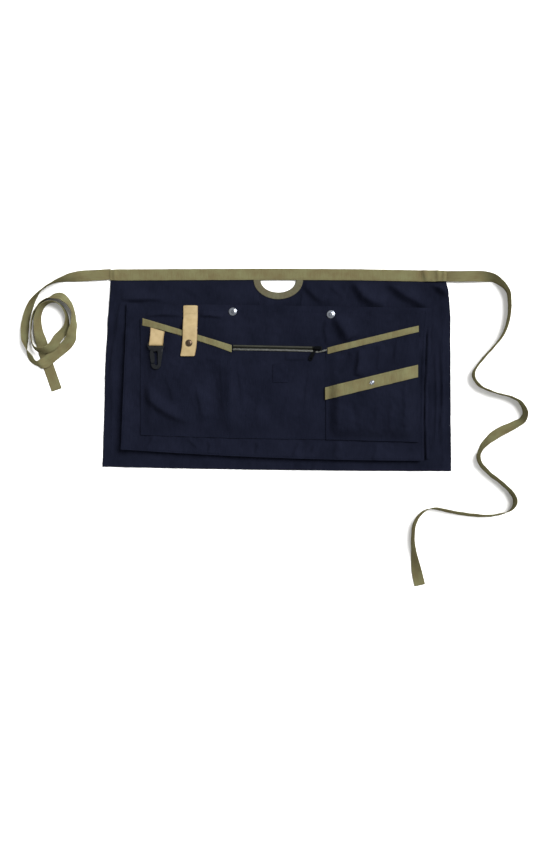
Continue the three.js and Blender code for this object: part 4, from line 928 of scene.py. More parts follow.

# %% [markdown]
# ## The zip
# Two woven tapes carry pressed metal teeth, and a slider with a hanging pull meshes them. A single bar would
# look like a wire, so each tooth is a small chamfered block. One block is worked out as an array and placed
# a hundred and more times by adding an array of spots, by turns a little above and below the middle line.

# %% [markdown]
# ### Metals and zip tape
# Nickel plate mirrors the room with a faint haze, and the pressed metal of zip teeth is duller. Antiqued
# brass is brown, and golden where it is rubbed. Enamel and black oxide hide the metal under them, so both
# are set without metallic shine: enamel keeps a soft highlight and oxide is nearly matt. Zip tape is a close
# twill of polyester, made by the same function as the cotton; its near-black colour is painted shade.

# %% Metal and zip finishes
def worn_metal(name, deep, bright, grain, roughness, metallic=1.0, shine=0.5, relief=0.04):
    """Metal whose colour, roughness and height vary a little in soft spots a few millimetres across."""
    material, tree, surface = new_finish(name, Metallic=metallic, Specular_IOR_Level=shine)
    place = add_node(tree, "TexCoord")
    spots = add_node(
        tree, "TexNoise", {"Scale": 1 / (grain * MM), "Detail": 5.0}, {"Vector": place.outputs["Object"]}
    )
    colour = add_node(
        tree, "Mix", {MIX_A: linear(deep), MIX_B: linear(bright)}, {MIX_FACTOR: spots.outputs["Fac"]},
        data_type="RGBA",
    )
    gloss = add_node(
        tree, "MapRange", {"To Min": roughness - 0.07, "To Max": roughness + 0.1},
        {"Value": spots.outputs["Fac"]},
    )
    bump = add_node(
        tree, "Bump", {"Strength": 0.3, "Distance": relief * MM}, {"Height": spots.outputs["Fac"]}
    )
    tree.links.new(colour.outputs[MIX_RESULT], surface.inputs["Base Color"])
    tree.links.new(gloss.outputs[0], surface.inputs["Roughness"])
    tree.links.new(bump.outputs["Normal"], surface.inputs["Normal"])
    return material


# Painted shade: the zip tape's near-black colour stands in for the shade round the zip.
zip_cloth_painted_shade = woven_cotton("zip_tape_painted_shade", "#0E0F0C", "#191A16", thread=1.0, twill=True, patch=20.0)
teeth_metal = worn_metal("pressed_zip_metal", "#4F504D", "#747571", 3.0, 0.34)
black_enamel = worn_metal(
    "black_enamelled_diecast", "#06080A", "#0C0E12", 4.0, 0.42, metallic=0.0, shine=0.16
)
black_oxide = worn_metal("black_oxide_diecast", "#020304", "#050608", 4.0, 0.6, metallic=0.0, shine=0.02)
nickel_plate = worn_metal("bright_nickel_plate", "#6A6F77", "#93979F", 5.0, 0.2)
aged_brass = worn_metal("antiqued_brass", "#28211C", "#5E4F3F", 2.0, 0.36)
print("metal finishes:", teeth_metal.name, black_enamel.name, nickel_plate.name, aged_brass.name)

# %% Zip tape
ZIP_X = np.array([-81.7, 85.0])
ZIP_TAPE_WIDTH = 11.0
ZIP_TAPE_THICK = 1.0
CHAIN_FLOOR = FRONT_FLOOR + ZIP_TAPE_THICK + GAP
SLIDER_X, SLIDER_Y, SLIDER_LENGTH, SLIDER_WIDTH, SLIDER_HEIGHT = 77.0, 37.2, 15.0, 10.0, 3.0

zip_u, zip_v = np.meshgrid(np.linspace(*ZIP_X, 84), np.linspace(0, 1, 9))
zip_ribs = 0.12 * np.sin(zip_v * 8 * math.pi)
zip_y = edge_y(ZIP_POCKET, "mouth", zip_u) + GAP + zip_v * ZIP_TAPE_WIDTH
zip_grid = np.stack([zip_u, zip_y, FRONT_FLOOR + ZIP_TAPE_THICK + zip_ribs], axis=-1)
dress(shell("zip_tape_cloth", zip_grid, ZIP_TAPE_THICK), zip_cloth_painted_shade, "zip_tape", "zip_tape")

# %% Zip welt
# A folded welt of olive tape covers the upper side of the zip. It lies in the shade of the pocket's upper
# edge, and that shade is painted into its colour: a darker olive than the other tape.
WELT_LOW, WELT_HIGH, WELT_END = 8.2, 11.0, 67.0
WELT_THICK, WELT_RISE, OFF_ZIP_TAPE = 0.5, 0.8, 0.7
# Painted shade: the welt's darker olive stands in for the shade under the pocket's upper edge.
welt_painted_shade_finish = woven_cotton("olive_welt_painted_shade", "#2A2A25", "#373832", thread=1.3, twill=True, patch=30.0)
welt_u, welt_v = np.meshgrid(np.linspace(ZIP_X[0], WELT_END, 84), np.linspace(0, 1, 9))
welt_y = edge_y(ZIP_POCKET, "mouth", welt_u) + mix(WELT_LOW, WELT_HIGH, welt_v)
welt_z = FRONT_FLOOR + ZIP_TAPE_THICK + OFF_ZIP_TAPE + WELT_RISE * np.sin(math.pi * welt_v)
welt_grid = np.stack([welt_u, welt_y, welt_z], axis=-1)
dress(shell("zip_welt_tape", welt_grid, WELT_THICK), welt_painted_shade_finish, "olive_tape")

# %% Zip teeth
TOOTH_PITCH, TOOTH_STAGGER, TOOTH_RISE = 2.6, 0.55, 1.1
TOOTH_HALF_SIZES, TOOTH_CHAMFER = (0.95, 1.35, 1.0), 0.35
TEETH_START, TEETH_END = ZIP_X[0] + 0.4, 95
TEETH_X = [-82, 20, 66, 76, 86, 96]
TEETH_Y = [36.3, 34.4, 33.0, 31.4, 32.8, 35.4]


def block(half_sizes, chamfer):
    """A block with chamfered upper and lower edges: four rings of eight points, from its underside up."""
    hx, hy, hz = half_sizes
    corner_x = np.array([-1, 1, 1, 1, 1, -1, -1, -1]) * hx
    corner_y = np.array([-1, -1, -1, 1, 1, 1, 1, -1]) * hy
    nip_x = np.array([1, -1, 0, 0, -1, 1, 0, 0]) * chamfer
    nip_y = np.array([0, 0, 1, -1, 0, 0, -1, 1]) * chamfer
    ring = np.stack([corner_x + nip_x, corner_y + nip_y], axis=-1)
    shrink = np.array([1 - chamfer / hx, 1 - chamfer / hy])
    levels = [(-hz, shrink), (chamfer - hz, 1), (hz - chamfer, 1), (hz, shrink)]
    return np.concatenate([np.column_stack([ring * scale, np.full(8, z)]) for z, scale in levels])


def repeated(shape, quads, caps, spots):
    """Copies of one shape: points are shape + spot, and face numbers step by the shape's point count."""
    points = (spots[:, None] + shape[None]).reshape(-1, 3)
    step = (np.arange(len(spots)) * len(shape))[:, None, None]
    return points, [(quads[None] + step).reshape(-1, 4), (caps[None] + step).reshape(-1, caps.shape[1])]


# Past the slider the lower row of teeth bends up to the right and ends under the right pocket's tape.
tooth_x = np.arange(TEETH_START, TEETH_END, TOOTH_PITCH / 2)
tooth_side = np.where(np.arange(len(tooth_x)) % 2, 1.0, -1.0)
tooth_y = np.interp(tooth_x, TEETH_X, TEETH_Y) + TOOTH_STAGGER * tooth_side
tooth_spots = np.stack([tooth_x, tooth_y, np.full(len(tooth_x), CHAIN_FLOOR + TOOTH_RISE)], axis=-1)
under_slider = (np.abs(tooth_x - SLIDER_X) < SLIDER_LENGTH / 2) & (tooth_y > SLIDER_Y - SLIDER_WIDTH / 2)
tooth = block(TOOTH_HALF_SIZES, TOOTH_CHAMFER)
tooth_caps = np.stack([np.arange(8)[::-1], np.arange(24, 32)])
teeth = repeated(tooth, grid_quads(4, 8, wrap=True), tooth_caps, tooth_spots[~under_slider])
dress(new_piece("zip_teeth", *teeth, sharp_above=30), teeth_metal, "zip_teeth", "zip_chain")

# %% Plates cut to an outline
def smooth_outline(corners, rounds):
    """Corner cutting: a side keeps its points at a quarter and three quarters, so corners become curves."""
    outline = np.asarray(corners, float)
    for _ in range(rounds):
        beside = np.roll(outline, -1, axis=0)
        near, far = 0.75 * outline + 0.25 * beside, 0.25 * outline + 0.75 * beside
        outline = np.stack([near, far], axis=1).reshape(-1, 2)
    return outline


def plate(outline, low, high, bevel):
    """A flat plate: its outline at four heights, drawn in by the bevel at the lowest and the highest."""
    ahead = np.roll(outline, -1, axis=0) - np.roll(outline, 1, axis=0)
    outward = unit_vectors(np.stack([ahead[:, 1], -ahead[:, 0]], axis=-1))
    levels = [(low, bevel), (low + bevel, 0), (high - bevel, 0), (high, bevel)]
    points = [np.column_stack([outline - inset * outward, np.full(len(outline), z)]) for z, inset in levels]
    count = len(outline)
    caps = np.stack([np.arange(count)[::-1], 3 * count + np.arange(count)])
    return np.concatenate(points), [grid_quads(4, count, wrap=True), caps]


def joined(*parts):
    """Several sets of points and faces as one, with the later face numbers moved up."""
    points, faces, start = [], [], 0
    for part_points, part_faces in parts:
        points.append(part_points)
        faces.extend(face + start for face in part_faces)
        start += len(part_points)
    return np.concatenate(points), faces


# %% Zip slider
BRIDGE_HALF, BRIDGE_WIDTH, BRIDGE_THICK = 5.6, 3.0, 1.4
PULL_THICK = 1.6
SLIDER_TOP = CHAIN_FLOOR + SLIDER_HEIGHT
BRIDGE_TOP = SLIDER_TOP + PULL_THICK + 2 * GAP + BRIDGE_THICK

slider_plan = [(-7.5, -2.5), (-4, -5), (4, -5), (7.5, -2.8), (7.5, 2.8), (4, 5), (-4, 5), (-7.5, 2.5)]
slider_spot = np.array([SLIDER_X, SLIDER_Y])
slider_body = plate(smooth_outline(slider_plan, 2) + slider_spot, CHAIN_FLOOR, SLIDER_TOP, 0.6)
bridge_plan = np.array([(-1, -0.5), (1, -0.5), (1, 0.5), (-1, 0.5)]) * (BRIDGE_HALF, BRIDGE_WIDTH)
bridge_outline = smooth_outline(bridge_plan, 2) + slider_spot
bridge_plate = plate(bridge_outline, BRIDGE_TOP - BRIDGE_THICK, BRIDGE_TOP, 0.4)
post_plan = [(2.6, -1.5), (5.6, -1.5), (5.6, 1.5), (2.6, 1.5)]
post_plate = plate(smooth_outline(post_plan, 2) + slider_spot, SLIDER_TOP - 1, BRIDGE_TOP - 0.2, 0.3)
slider_solid = joined(slider_body, bridge_plate, post_plate)
dress(new_piece("zip_slider_body", *slider_solid, sharp_above=30), black_oxide, "black_metal", "zip_slider")


# %% Plates with a hole
def ring_plate(inner, outer, half, bevel, closed=True):
    """A plate with a hole: at each station the section runs from the hole's edge to the outer edge along the
    underside and back along the top, with both edges bevelled. An open ring has faces across its ends."""
    share = np.array([0, 0.07, 0.3, 0.7, 0.93, 1])
    level = half - bevel * np.array([1, 0, 0, 0, 0, 1])
    there = inner[:, None] + (outer - inner)[:, None] * share[None, :, None]
    under = np.concatenate([there, np.broadcast_to(-level[None, :, None], (len(inner), 6, 1))], axis=-1)
    over = np.concatenate([there, np.broadcast_to(level[None, :, None], (len(inner), 6, 1))], axis=-1)
    section = np.concatenate([under, over[:, ::-1]], axis=1)
    count = section.shape[1]
    rows = np.concatenate([section, section[:1]]) if closed else section
    quads = grid_quads(len(rows), count, wrap=True)
    if closed:
        return section.reshape(-1, 3), [quads % (len(section) * count)]
    low = np.arange(5)
    end = np.stack([low, count - 1 - low, count - 2 - low, low + 1], axis=1)
    return section.reshape(-1, 3), [quads, end, end[:, ::-1] + (len(section) - 1) * count]


# %% Zip pull
PULL_TOP, PULL_END, PULL_PAST_TOP = np.array([70.6, 31.6]), np.array([62.4, 14.8]), 4
PULL_HALF, PULL_HOLE, PULL_BEVEL = 3.8, 1.7, 0.35

pull_length = np.linalg.norm(PULL_END - PULL_TOP)
pull_turn = np.linspace(0, 2 * math.pi, 48, endpoint=False)
pull_way = np.stack([np.cos(pull_turn), np.sin(pull_turn)], axis=-1)
pull_neck = PULL_PAST_TOP + pull_length - PULL_HALF
pull_oval = 1 / np.sqrt((pull_way[:, 0] / PULL_HALF) ** 2 + (pull_way[:, 1] / pull_neck) ** 2)
pull_outer = np.where(pull_way[:, 1] > 0, pull_oval, PULL_HALF)[:, None] * pull_way
pull_points, pull_faces = ring_plate(PULL_HOLE * pull_way, pull_outer, PULL_THICK / 2, PULL_BEVEL)
pull_up = unit_vectors(PULL_TOP - PULL_END)
pull_side = np.array([pull_up[1], -pull_up[0]])
pull_plan = PULL_END + pull_up * PULL_HALF + pull_points[:, :1] * pull_side + pull_points[:, 1:2] * pull_up
pull_points = np.column_stack([pull_plan, pull_points[:, 2] + SLIDER_TOP + GAP + PULL_THICK / 2])
pull_tab = new_piece("zip_pull_tab", pull_points, pull_faces, sharp_above=30)
dress(pull_tab, black_oxide, "black_metal", "zip_pull")

# %% [markdown]
# ## Leather strap and loop
# Both are cut from pale vegetable-tanned leather: smooth, with fine pores, a soft gloss and edges that
# darken as they are rubbed. The strap hangs over the pocket's mouth and steps down to the panel. The loop is
# folded round the bar of the hook. Each is a grid given its thickness by the same shell helper as the cloth.

# %% Leather finish
def tanned_leather(name, pale, deep, rubbed, pore):
    """Leather: cells a `pore` wide for the grain, soft stains, and a darker colour at its rubbed edges."""
    material, tree, surface = new_finish(name, Roughness=0.55, Specular_IOR_Level=0.4, Coat_Weight=0.06)
    place = add_node(tree, "UVMap", uv_map=CLOTH_MAP)
    spot = {"Vector": place.outputs[0]}
    pores = add_node(tree, "TexVoronoi", {"Scale": 1 / pore}, spot, feature="SMOOTH_F1")
    stain = add_node(tree, "TexNoise", {"Scale": 1 / (9 * pore), "Detail": 6.0}, spot)
    spread = add_node(
        tree, "MapRange", {"From Min": 0.35, "From Max": 0.75}, {"Value": stain.outputs["Fac"]}
    )
    tone = add_node(
        tree, "Mix", {MIX_A: linear(pale), MIX_B: linear(deep)}, {MIX_FACTOR: spread.outputs[0]},
        data_type="RGBA",
    )
    edge = add_node(tree, "Attribute", attribute_name=RUB)
    colour = add_node(
        tree, "Mix", {MIX_B: linear(rubbed)},
        {MIX_FACTOR: edge.outputs["Fac"], MIX_A: tone.outputs[MIX_RESULT]}, data_type="RGBA",
    )
    bump = add_node(
        tree, "Bump", {"Strength": 0.5, "Distance": 0.25 * MM}, {"Height": pores.outputs["Distance"]}
    )
    tree.links.new(colour.outputs[MIX_RESULT], surface.inputs["Base Color"])
    tree.links.new(bump.outputs["Normal"], surface.inputs["Normal"])
    return material


# Pores are drawn 1.4 mm apart, about four times their real spacing, to show at all in the render.
leather = tanned_leather("vegetable_tanned_leather", "#887754", "#776643", "#5E482A", 1.4)
print("leather finish:", leather.name)

# %% Tool strap
STRAP_LEATHER = 2.0
STRAP_WIDTH = 26.6
STRAP_CORNER = 1.0
STRAP_LEVEL_PANEL = PANEL_TOP + GAP
STRAP_LEVEL_POCKET = 17.5
STRAP_LEVEL_BINDING = 18.9
STRAP_LOW, STRAP_HIGH = 23.1, 118.6
STRAP_Y = np.array([STRAP_LOW, 39, 57, 76, 97, STRAP_HIGH])
STRAP_X = np.array([-167.2, -164.0, -162.4, -162.3, -162.2, -162.2])
STRAP_Z = np.array([STRAP_LEVEL_POCKET] + 3 * [STRAP_LEVEL_BINDING] + 2 * [STRAP_LEVEL_PANEL])

strap_y = graded((STRAP_LOW, 25, 0.25), (25, 116.6, 1.6), (116.6, STRAP_HIGH, 0.25))
strap_z = np.mean([np.interp(strap_y + shift, STRAP_Y, STRAP_Z) for shift in np.linspace(-4, 4, 9)], axis=0)
end_gap = np.clip(np.minimum(strap_y - strap_y[0], strap_y[-1] - strap_y), 0, STRAP_CORNER)
strap_half = STRAP_WIDTH / 2 - STRAP_CORNER + np.sqrt(STRAP_CORNER ** 2 - (STRAP_CORNER - end_gap) ** 2)
strap_share = np.array([-1, -0.97, -0.9, -0.6, -0.3, 0, 0.3, 0.6, 0.9, 0.97, 1])
strap_grid = np.stack([
    np.interp(strap_y, STRAP_Y, STRAP_X)[:, None] + strap_half[:, None] * strap_share,
    np.broadcast_to(strap_y[:, None], (len(strap_y), len(strap_share))),
    strap_z[:, None] + STRAP_LEATHER - 0.35 * np.abs(strap_share) ** 10,
], axis=-1)
strap_rub = np.broadcast_to(0.55 * (np.abs(strap_share) > 0.95), strap_grid.shape[:2])
tool_strap = shell("tool_strap_leather", strap_grid, STRAP_LEATHER, strap_rub)
dress(tool_strap, leather, "tan_leather", "tool_strap")

# %% Hook loop
LOOP_LEATHER = 1.6
LOOP_X, LOOP_WIDTH, LOOP_BOTTOM, LOOP_LEAN = -224.5, 25.2, 42.0, 1.4
LOOP_FLOOR = 17.5
LOOP_LEAF_STEPS = 21
BAR_RADIUS = 1.3
BAR_Y = LOOP_BOTTOM + LOOP_LEATHER + GAP + BAR_RADIUS
BAR_Z = LOOP_FLOOR + LOOP_LEATHER + GAP + BAR_RADIUS
LOOP_RADIUS = BAR_RADIUS + GAP + LOOP_LEATHER

loop_across = LOOP_X - LOOP_WIDTH / 2 * np.array([-1, -0.96, -0.85, -0.5, 0, 0.5, 0.85, 0.96, 1])
leaf = np.linspace(1, 0, LOOP_LEAF_STEPS)
loop_turn = np.linspace(math.pi / 2, 1.5 * math.pi, 15)[1:-1]
loop_top = (
    edge_y(LEFT_POCKET, "mouth", loop_across + LOOP_LEAN)
    - (POCKET_BINDING - FOLD_OVER) / math.cos(mouth_slope(LEFT_POCKET)) - GAP
)
leaf_y = BAR_Y + leaf[:, None] * (loop_top - BAR_Y)
turn_y = (BAR_Y + LOOP_RADIUS * np.cos(loop_turn))[:, None] + 0 * loop_across
loop_y = np.concatenate([leaf_y, turn_y, leaf_y[::-1]])
front_z = mix(BAR_Z + LOOP_RADIUS, LOOP_FLOOR + 2 * LOOP_LEATHER + GAP, smooth(leaf))
turn_z = BAR_Z + LOOP_RADIUS * np.sin(loop_turn)
loop_z = np.concatenate([front_z, turn_z, np.full(LOOP_LEAF_STEPS, LOOP_FLOOR)])
upward = np.clip((loop_y - LOOP_BOTTOM) / (loop_top - LOOP_BOTTOM), 0, 1)
pinch = 1 - 0.05 * np.sin(math.pi * upward)
loop_grid = np.stack([
    LOOP_X + (loop_across - LOOP_X) * pinch + LOOP_LEAN * (2 * upward - 1), loop_y,
    np.broadcast_to(loop_z[:, None], loop_y.shape),
], axis=-1)
loop_rub = np.broadcast_to(0.5 * (np.abs(loop_across - LOOP_X) > 0.95 * LOOP_WIDTH / 2), loop_y.shape)
hook_loop = shell("hook_loop_leather", loop_grid, LOOP_LEATHER, loop_rub)
dress(hook_loop, leather, "tan_leather", "strap_loop")

# %% [markdown]
# ## The snap hook
# A die-cast clip with black enamel: a flat frame round a long slot, two arms that hold the bar inside the
# leather loop, and a sprung gate in its left leg. The frame is an open ring: a bevelled section carried
# round the slot, from below the gate to above it. The gate is its own plate, because it turns.

# %% Hook shape
HOOK_TILT = math.radians(2.2)
HOOK_SPOT = np.array([LOOP_X - LOOP_LEAN, BAR_Y, BAR_Z])
ARM_OUT, ARM_IN, ARM_TOP, ARM_ROOT, EYE = 15.8, 13.6, 2.0, 1.5, -3.9
SHOULDER, SHOULDER_HALF, WAIST, WAIST_HALF, TIP = -9.0, 13.2, -38.0, 9.2, -47.0
SLOT_MID, SLOT_WIDE, SLOT_TOP, SLOT_END = 0.5, 2.9, -13.0, -40.0
GATE_X, GATE_Y, GATE_HEAD, GATE_REACH = -8.0, -14.0, 3.1, 22.0
BAR_SIDES, BAR_STATIONS = 20, 5
OUTLINE_STEP = 0.7


def on_apron(points):
    """Hook coordinates to apron coordinates: a small tilt about the bar, then to the bar's place."""
    x, y, z = points.T
    cosine, sine = math.cos(HOOK_TILT), math.sin(HOOK_TILT)
    return np.stack([x, y * cosine - z * sine, y * sine + z * cosine], axis=-1) + HOOK_SPOT


def along_corners(corners, spacing):
    """Points at even spacing along straight lines through the corners."""
    corners = np.asarray(corners, float)
    run = np.concatenate([[0], np.cumsum(np.linalg.norm(np.diff(corners, axis=0), axis=-1))])
    at = np.linspace(0, run[-1], round(run[-1] / spacing) + 1)
    return np.stack([np.interp(at, run, corners[:, 0]), np.interp(at, run, corners[:, 1])], axis=-1)


def slot_edge(outer):
    """The slot's edge facing each outer point: level with it along the legs, round the ends beyond them."""
    high, low = SLOT_TOP - SLOT_WIDE, SLOT_END + SLOT_WIDE
    level = np.clip(outer[:, 1], low, high)
    beyond = outer[:, 1] - level
    side = outer[:, 0] - SLOT_MID
    ends = unit_vectors(np.stack([side, 2.2 * beyond], axis=-1))
    return np.stack([SLOT_MID + SLOT_WIDE * ends[:, 0], level + SLOT_WIDE * ends[:, 1]], axis=-1)


# %% Hook mesh
tip_turn = np.linspace(math.pi, 2 * math.pi, 25)[1:-1]
tip_arc = np.stack([WAIST_HALF * np.cos(tip_turn), WAIST + (WAIST - TIP) * np.sin(tip_turn)], axis=-1)
left_foot = [(-WAIST_HALF - 0.15, GATE_Y - GATE_REACH - 0.9), (-WAIST_HALF, WAIST)]
shoulders = [
    (WAIST_HALF, WAIST), (SHOULDER_HALF, SHOULDER), (ARM_OUT, EYE), (-ARM_OUT, EYE),
    (-SHOULDER_HALF, SHOULDER), (-SHOULDER_HALF + 0.2, SHOULDER - 1.6),
]
hook_outer = np.concatenate([
    along_corners(left_foot, OUTLINE_STEP), tip_arc, along_corners(shoulders, OUTLINE_STEP),
])
hook_ring, hook_faces = ring_plate(slot_edge(hook_outer), hook_outer, BAR_RADIUS, 0.45, closed=False)
from_pivot = hook_ring[:, :2] - (GATE_X, GATE_Y)
away = np.linalg.norm(from_pivot, axis=-1, keepdims=True)
socket = np.maximum(away, GATE_HEAD + GAP) / away
hook_ring[:, :2] = (GATE_X, GATE_Y) + from_pivot * socket
right_arm = np.array([
    (ARM_IN, EYE - ARM_ROOT), (ARM_OUT - 0.9, EYE - ARM_ROOT), (ARM_OUT, EYE), (ARM_OUT, ARM_TOP),
    (ARM_IN, ARM_TOP),
])
left_arm = right_arm[::-1] * (-1, 1)
arm_half = BAR_RADIUS - 0.1
arms = [plate(arm, -arm_half, arm_half, 0.3) for arm in (right_arm, left_arm)]
bar_turn = np.linspace(0, 2 * math.pi, BAR_SIDES, endpoint=False)
bar_x = np.linspace(-ARM_IN - 1, ARM_IN + 1, BAR_STATIONS)
bar_y, bar_z = BAR_RADIUS * np.cos(bar_turn), BAR_RADIUS * np.sin(bar_turn)
bar_points = np.stack([
    np.repeat(bar_x, BAR_SIDES), np.tile(bar_y, BAR_STATIONS), np.tile(bar_z, BAR_STATIONS),
], axis=-1)
bar_end = np.arange(BAR_SIDES)
bar_caps = np.stack([bar_end[::-1], (BAR_STATIONS - 1) * BAR_SIDES + bar_end])
bar_faces = [grid_quads(BAR_STATIONS, BAR_SIDES, wrap=True), bar_caps]
hook_points, hook_faces = joined((hook_ring, hook_faces), (bar_points, bar_faces), *arms)
hook_frame = new_piece("snap_hook_frame", on_apron(hook_points), hook_faces, sharp_above=35)
dress(hook_frame, black_enamel, "black_metal", "hook_clip", body="hook")

# %% Gate
gate_head = np.linspace(math.radians(-40), math.radians(220), 17)
gate_corners = np.concatenate([
    np.stack([GATE_X + GATE_HEAD * np.cos(gate_head), GATE_Y + GATE_HEAD * np.sin(gate_head)], axis=-1),
    [(-11.9, -17.2), (-11.2, -22), (-10.4, -28), (-9.6, -34.6), (-8, -35.9), (-4.6, -35.6), (-2.8, -34.6),
     (-2.8, -28), (-2.8, -22), (-3.0, -17.2)],
])
gate_points, gate_faces = plate(smooth_outline(gate_corners, 1), -1.0, 1.0, 0.35)
gate = new_piece("snap_hook_gate", on_apron(gate_points), gate_faces, sharp_above=35)
dress(gate, black_enamel, "black_metal", "hook_gate", body="gate")

# %% [markdown]
# ## Snaps
# A snap is pressed from sheet metal: a cap with a rolled rim on the face, a stud between the layers and a
# flange at the back. All of it is round, so a short profile of radius and height is turned about its axis.

# %% Snap helper
SNAP_POST = 2.0
SNAP_SIDES = 48


def snap(name, node, spot, cap, levels, material, slot):
    """A turned profile: flange, post, stud, and a cap with a rolled rim, a step and a shallow dimple."""
    low_under, low_top, high_under, high_top = levels
    seat, stud_low, stud_high, base = low_under - GAP, low_top + GAP, high_under - GAP, high_top + GAP
    flange, stud = 0.75 * cap, 0.7 * cap
    cap_curve = np.array([
        (0.96, 0), (1, 0.2), (1, 0.45), (0.97, 0.75), (0.91, 0.95), (0.84, 0.98), (0.79, 0.92), (0.75, 1.0),
        (0.7, 1.3), (0.6, 1.65), (0.46, 1.9), (0.32, 2.0), (0.2, 1.96), (0.1, 1.9), (0.01, 1.88),
    ]) * (cap, 1) + (0, base)
    body = [
        (0.05, seat - 1), (flange - 0.3, seat - 1), (flange, seat - 0.7), (flange, seat - 0.2),
        (flange - 0.3, seat), (SNAP_POST, seat),
        (SNAP_POST, stud_low), (stud - 0.3, stud_low), (stud, stud_low + 0.3),
        (stud, stud_high - 0.3), (stud - 0.3, stud_high), (SNAP_POST, stud_high), (SNAP_POST, base),
    ]
    profile = np.concatenate([body, cap_curve])
    turn = np.linspace(0, 2 * math.pi, SNAP_SIDES, endpoint=False)
    points = np.stack([
        spot[0] + profile[:, :1] * np.cos(turn), spot[1] + profile[:, :1] * np.sin(turn),
        np.broadcast_to(profile[:, 1:], (len(profile), SNAP_SIDES)),
    ], axis=-1).reshape(-1, 3)
    ring = np.arange(SNAP_SIDES)
    caps = np.stack([ring[::-1], (len(profile) - 1) * SNAP_SIDES + ring])
    faces = [grid_quads(len(profile), SNAP_SIDES, wrap=True), caps]
    dress(new_piece(name, points, faces, sharp_above=40), material, slot, node)


# %% Four snaps
PANEL_SNAPS = {"left_snap": (-82.5, 107.5), "right_snap": (102.5, 102.3)}
STRAP_SNAP, STRAP_SNAP_FLOOR = (-164, 47), 17.2
BAND_SNAP = (178.1, -27.0)
PANEL_CAP, STRAP_CAP, BAND_CAP = 7.6, 6.5, 4.2

for node, spot in PANEL_SNAPS.items():
    under = top_rise(spot[1])
    levels = (under, under + CANVAS, PANEL_UNDER, PANEL_TOP)
    snap(f"{node}_metal", node, spot, PANEL_CAP, levels, nickel_plate, "nickel")
strap_top = STRAP_LEVEL_BINDING + STRAP_LEATHER
strap_levels = (STRAP_SNAP_FLOOR - CANVAS, STRAP_SNAP_FLOOR, STRAP_LEVEL_BINDING, strap_top)
snap("strap_snap_metal", "strap_snap", STRAP_SNAP, STRAP_CAP, strap_levels, aged_brass, "dark_snap")
covered = float(right_under(*map(np.array, BAND_SNAP)))
banded = float(tool_under(*map(np.array, BAND_SNAP)))
band_levels = (covered, covered + CANVAS, banded - GAP - TAPE, banded + CANVAS + GAP + TAPE)
snap("band_snap_metal", "band_snap", BAND_SNAP, BAND_CAP, band_levels, nickel_plate, "nickel")

# %% [markdown]
# ## Label patch
# A small close-woven patch is sewn on the middle pocket. It is left bare.

# %% Label
LABEL_X, LABEL_Y = (-6.6, 21.6), (-26.0, 8.0)
LABEL_THICK, LABEL_STEP, OFF_POCKET = 0.8, 0.4, 0.4

label_finish = woven_cotton("damask_label_cloth", "#0B0D16", "#11131E", thread=0.9, patch=15.0, relief=0.12)
label_u, label_v = np.meshgrid(graded((*LABEL_X, LABEL_STEP)), graded((*LABEL_Y, LABEL_STEP)))
label_z = zip_under(label_u, label_v) + CANVAS + OFF_POCKET + LABEL_THICK
label_grid = np.stack([label_u, label_v, label_z], axis=-1)
dress(shell("label_patch_cloth", label_grid, LABEL_THICK), label_finish, "label_cloth", "label")

# %% [markdown]
# ## Stitches
# Thread shows as a row of short raised dashes. Each is a tiny rod with five sides that dips at its ends, and
# all dashes of one colour are a single mesh, because thousands of objects would be slow to handle.

# %% Stitch helper
STITCH_PITCH, STITCH_LENGTH, STITCH_RADIUS, STITCH_SIDES = 3.3, 2.5, 0.34, 5


def stitch_spots(path):
    """Middles and directions of the dashes on a line of points, at even spacing."""
    run = np.concatenate([[0], np.cumsum(np.linalg.norm(np.diff(path, axis=0), axis=-1))])
    at = np.arange(STITCH_PITCH / 2, run[-1] - STITCH_LENGTH / 2, STITCH_PITCH)
    ends = [np.stack([np.interp(at + d, run, path[:, k]) for k in range(3)], axis=-1) for d in (-1.0, 1.0)]
    return (ends[0] + ends[1]) / 2, unit_vectors(ends[1] - ends[0])


def stitched(name, paths, material, slot):
    """All dashes of some lines as one mesh: middle + direction x s + radius(s) x circle, ends sunk."""
    runs = [stitch_spots(np.asarray(path)) for path in paths]
    middle = np.concatenate([run[0] for run in runs])[:, None, None]
    ahead = np.concatenate([run[1] for run in runs])[:, None, None]
    up = np.array([0, 0, 1.0])
    side = unit_vectors(np.cross(ahead, up))
    over = np.cross(side, ahead)
    s = np.array([-0.5, -0.34, 0.34, 0.5])[None, :, None, None] * STITCH_LENGTH
    fat = np.array([0.4, 1, 1, 0.4])[None, :, None, None] * STITCH_RADIUS
    sunk = np.array([-0.3, 0, 0, -0.3])[None, :, None, None]
    turn = np.linspace(0, 2 * math.pi, STITCH_SIDES, endpoint=False)[None, None, :, None]
    points = middle + ahead * s + side * (fat * np.cos(turn)) + over * (fat * np.sin(turn) + sunk)
    step = (np.arange(len(middle)) * 4 * STITCH_SIDES)[:, None, None]
    quads = (grid_quads(4, STITCH_SIDES, wrap=True)[None] + step).reshape(-1, 4)
    ring = np.arange(STITCH_SIDES)
    caps = (np.stack([ring[::-1], 3 * STITCH_SIDES + ring])[None] + step).reshape(-1, STITCH_SIDES)
    dress(new_piece(name, points.reshape(-1, 3), [quads, caps]), material, slot)


def laid_on(height, x, y, proud=0.12):
    """A line of points on a surface given by its height function."""
    x, y = np.broadcast_arrays(np.asarray(x, float), np.asarray(y, float))
    return np.stack([x, y, height(x, y) + proud], axis=-1)


# %% Stitch lines on the canvas
def front_top(under):
    """Upper face of a pocket's front from its underside."""
    return lambda x, y: under(x, y) + CANVAS


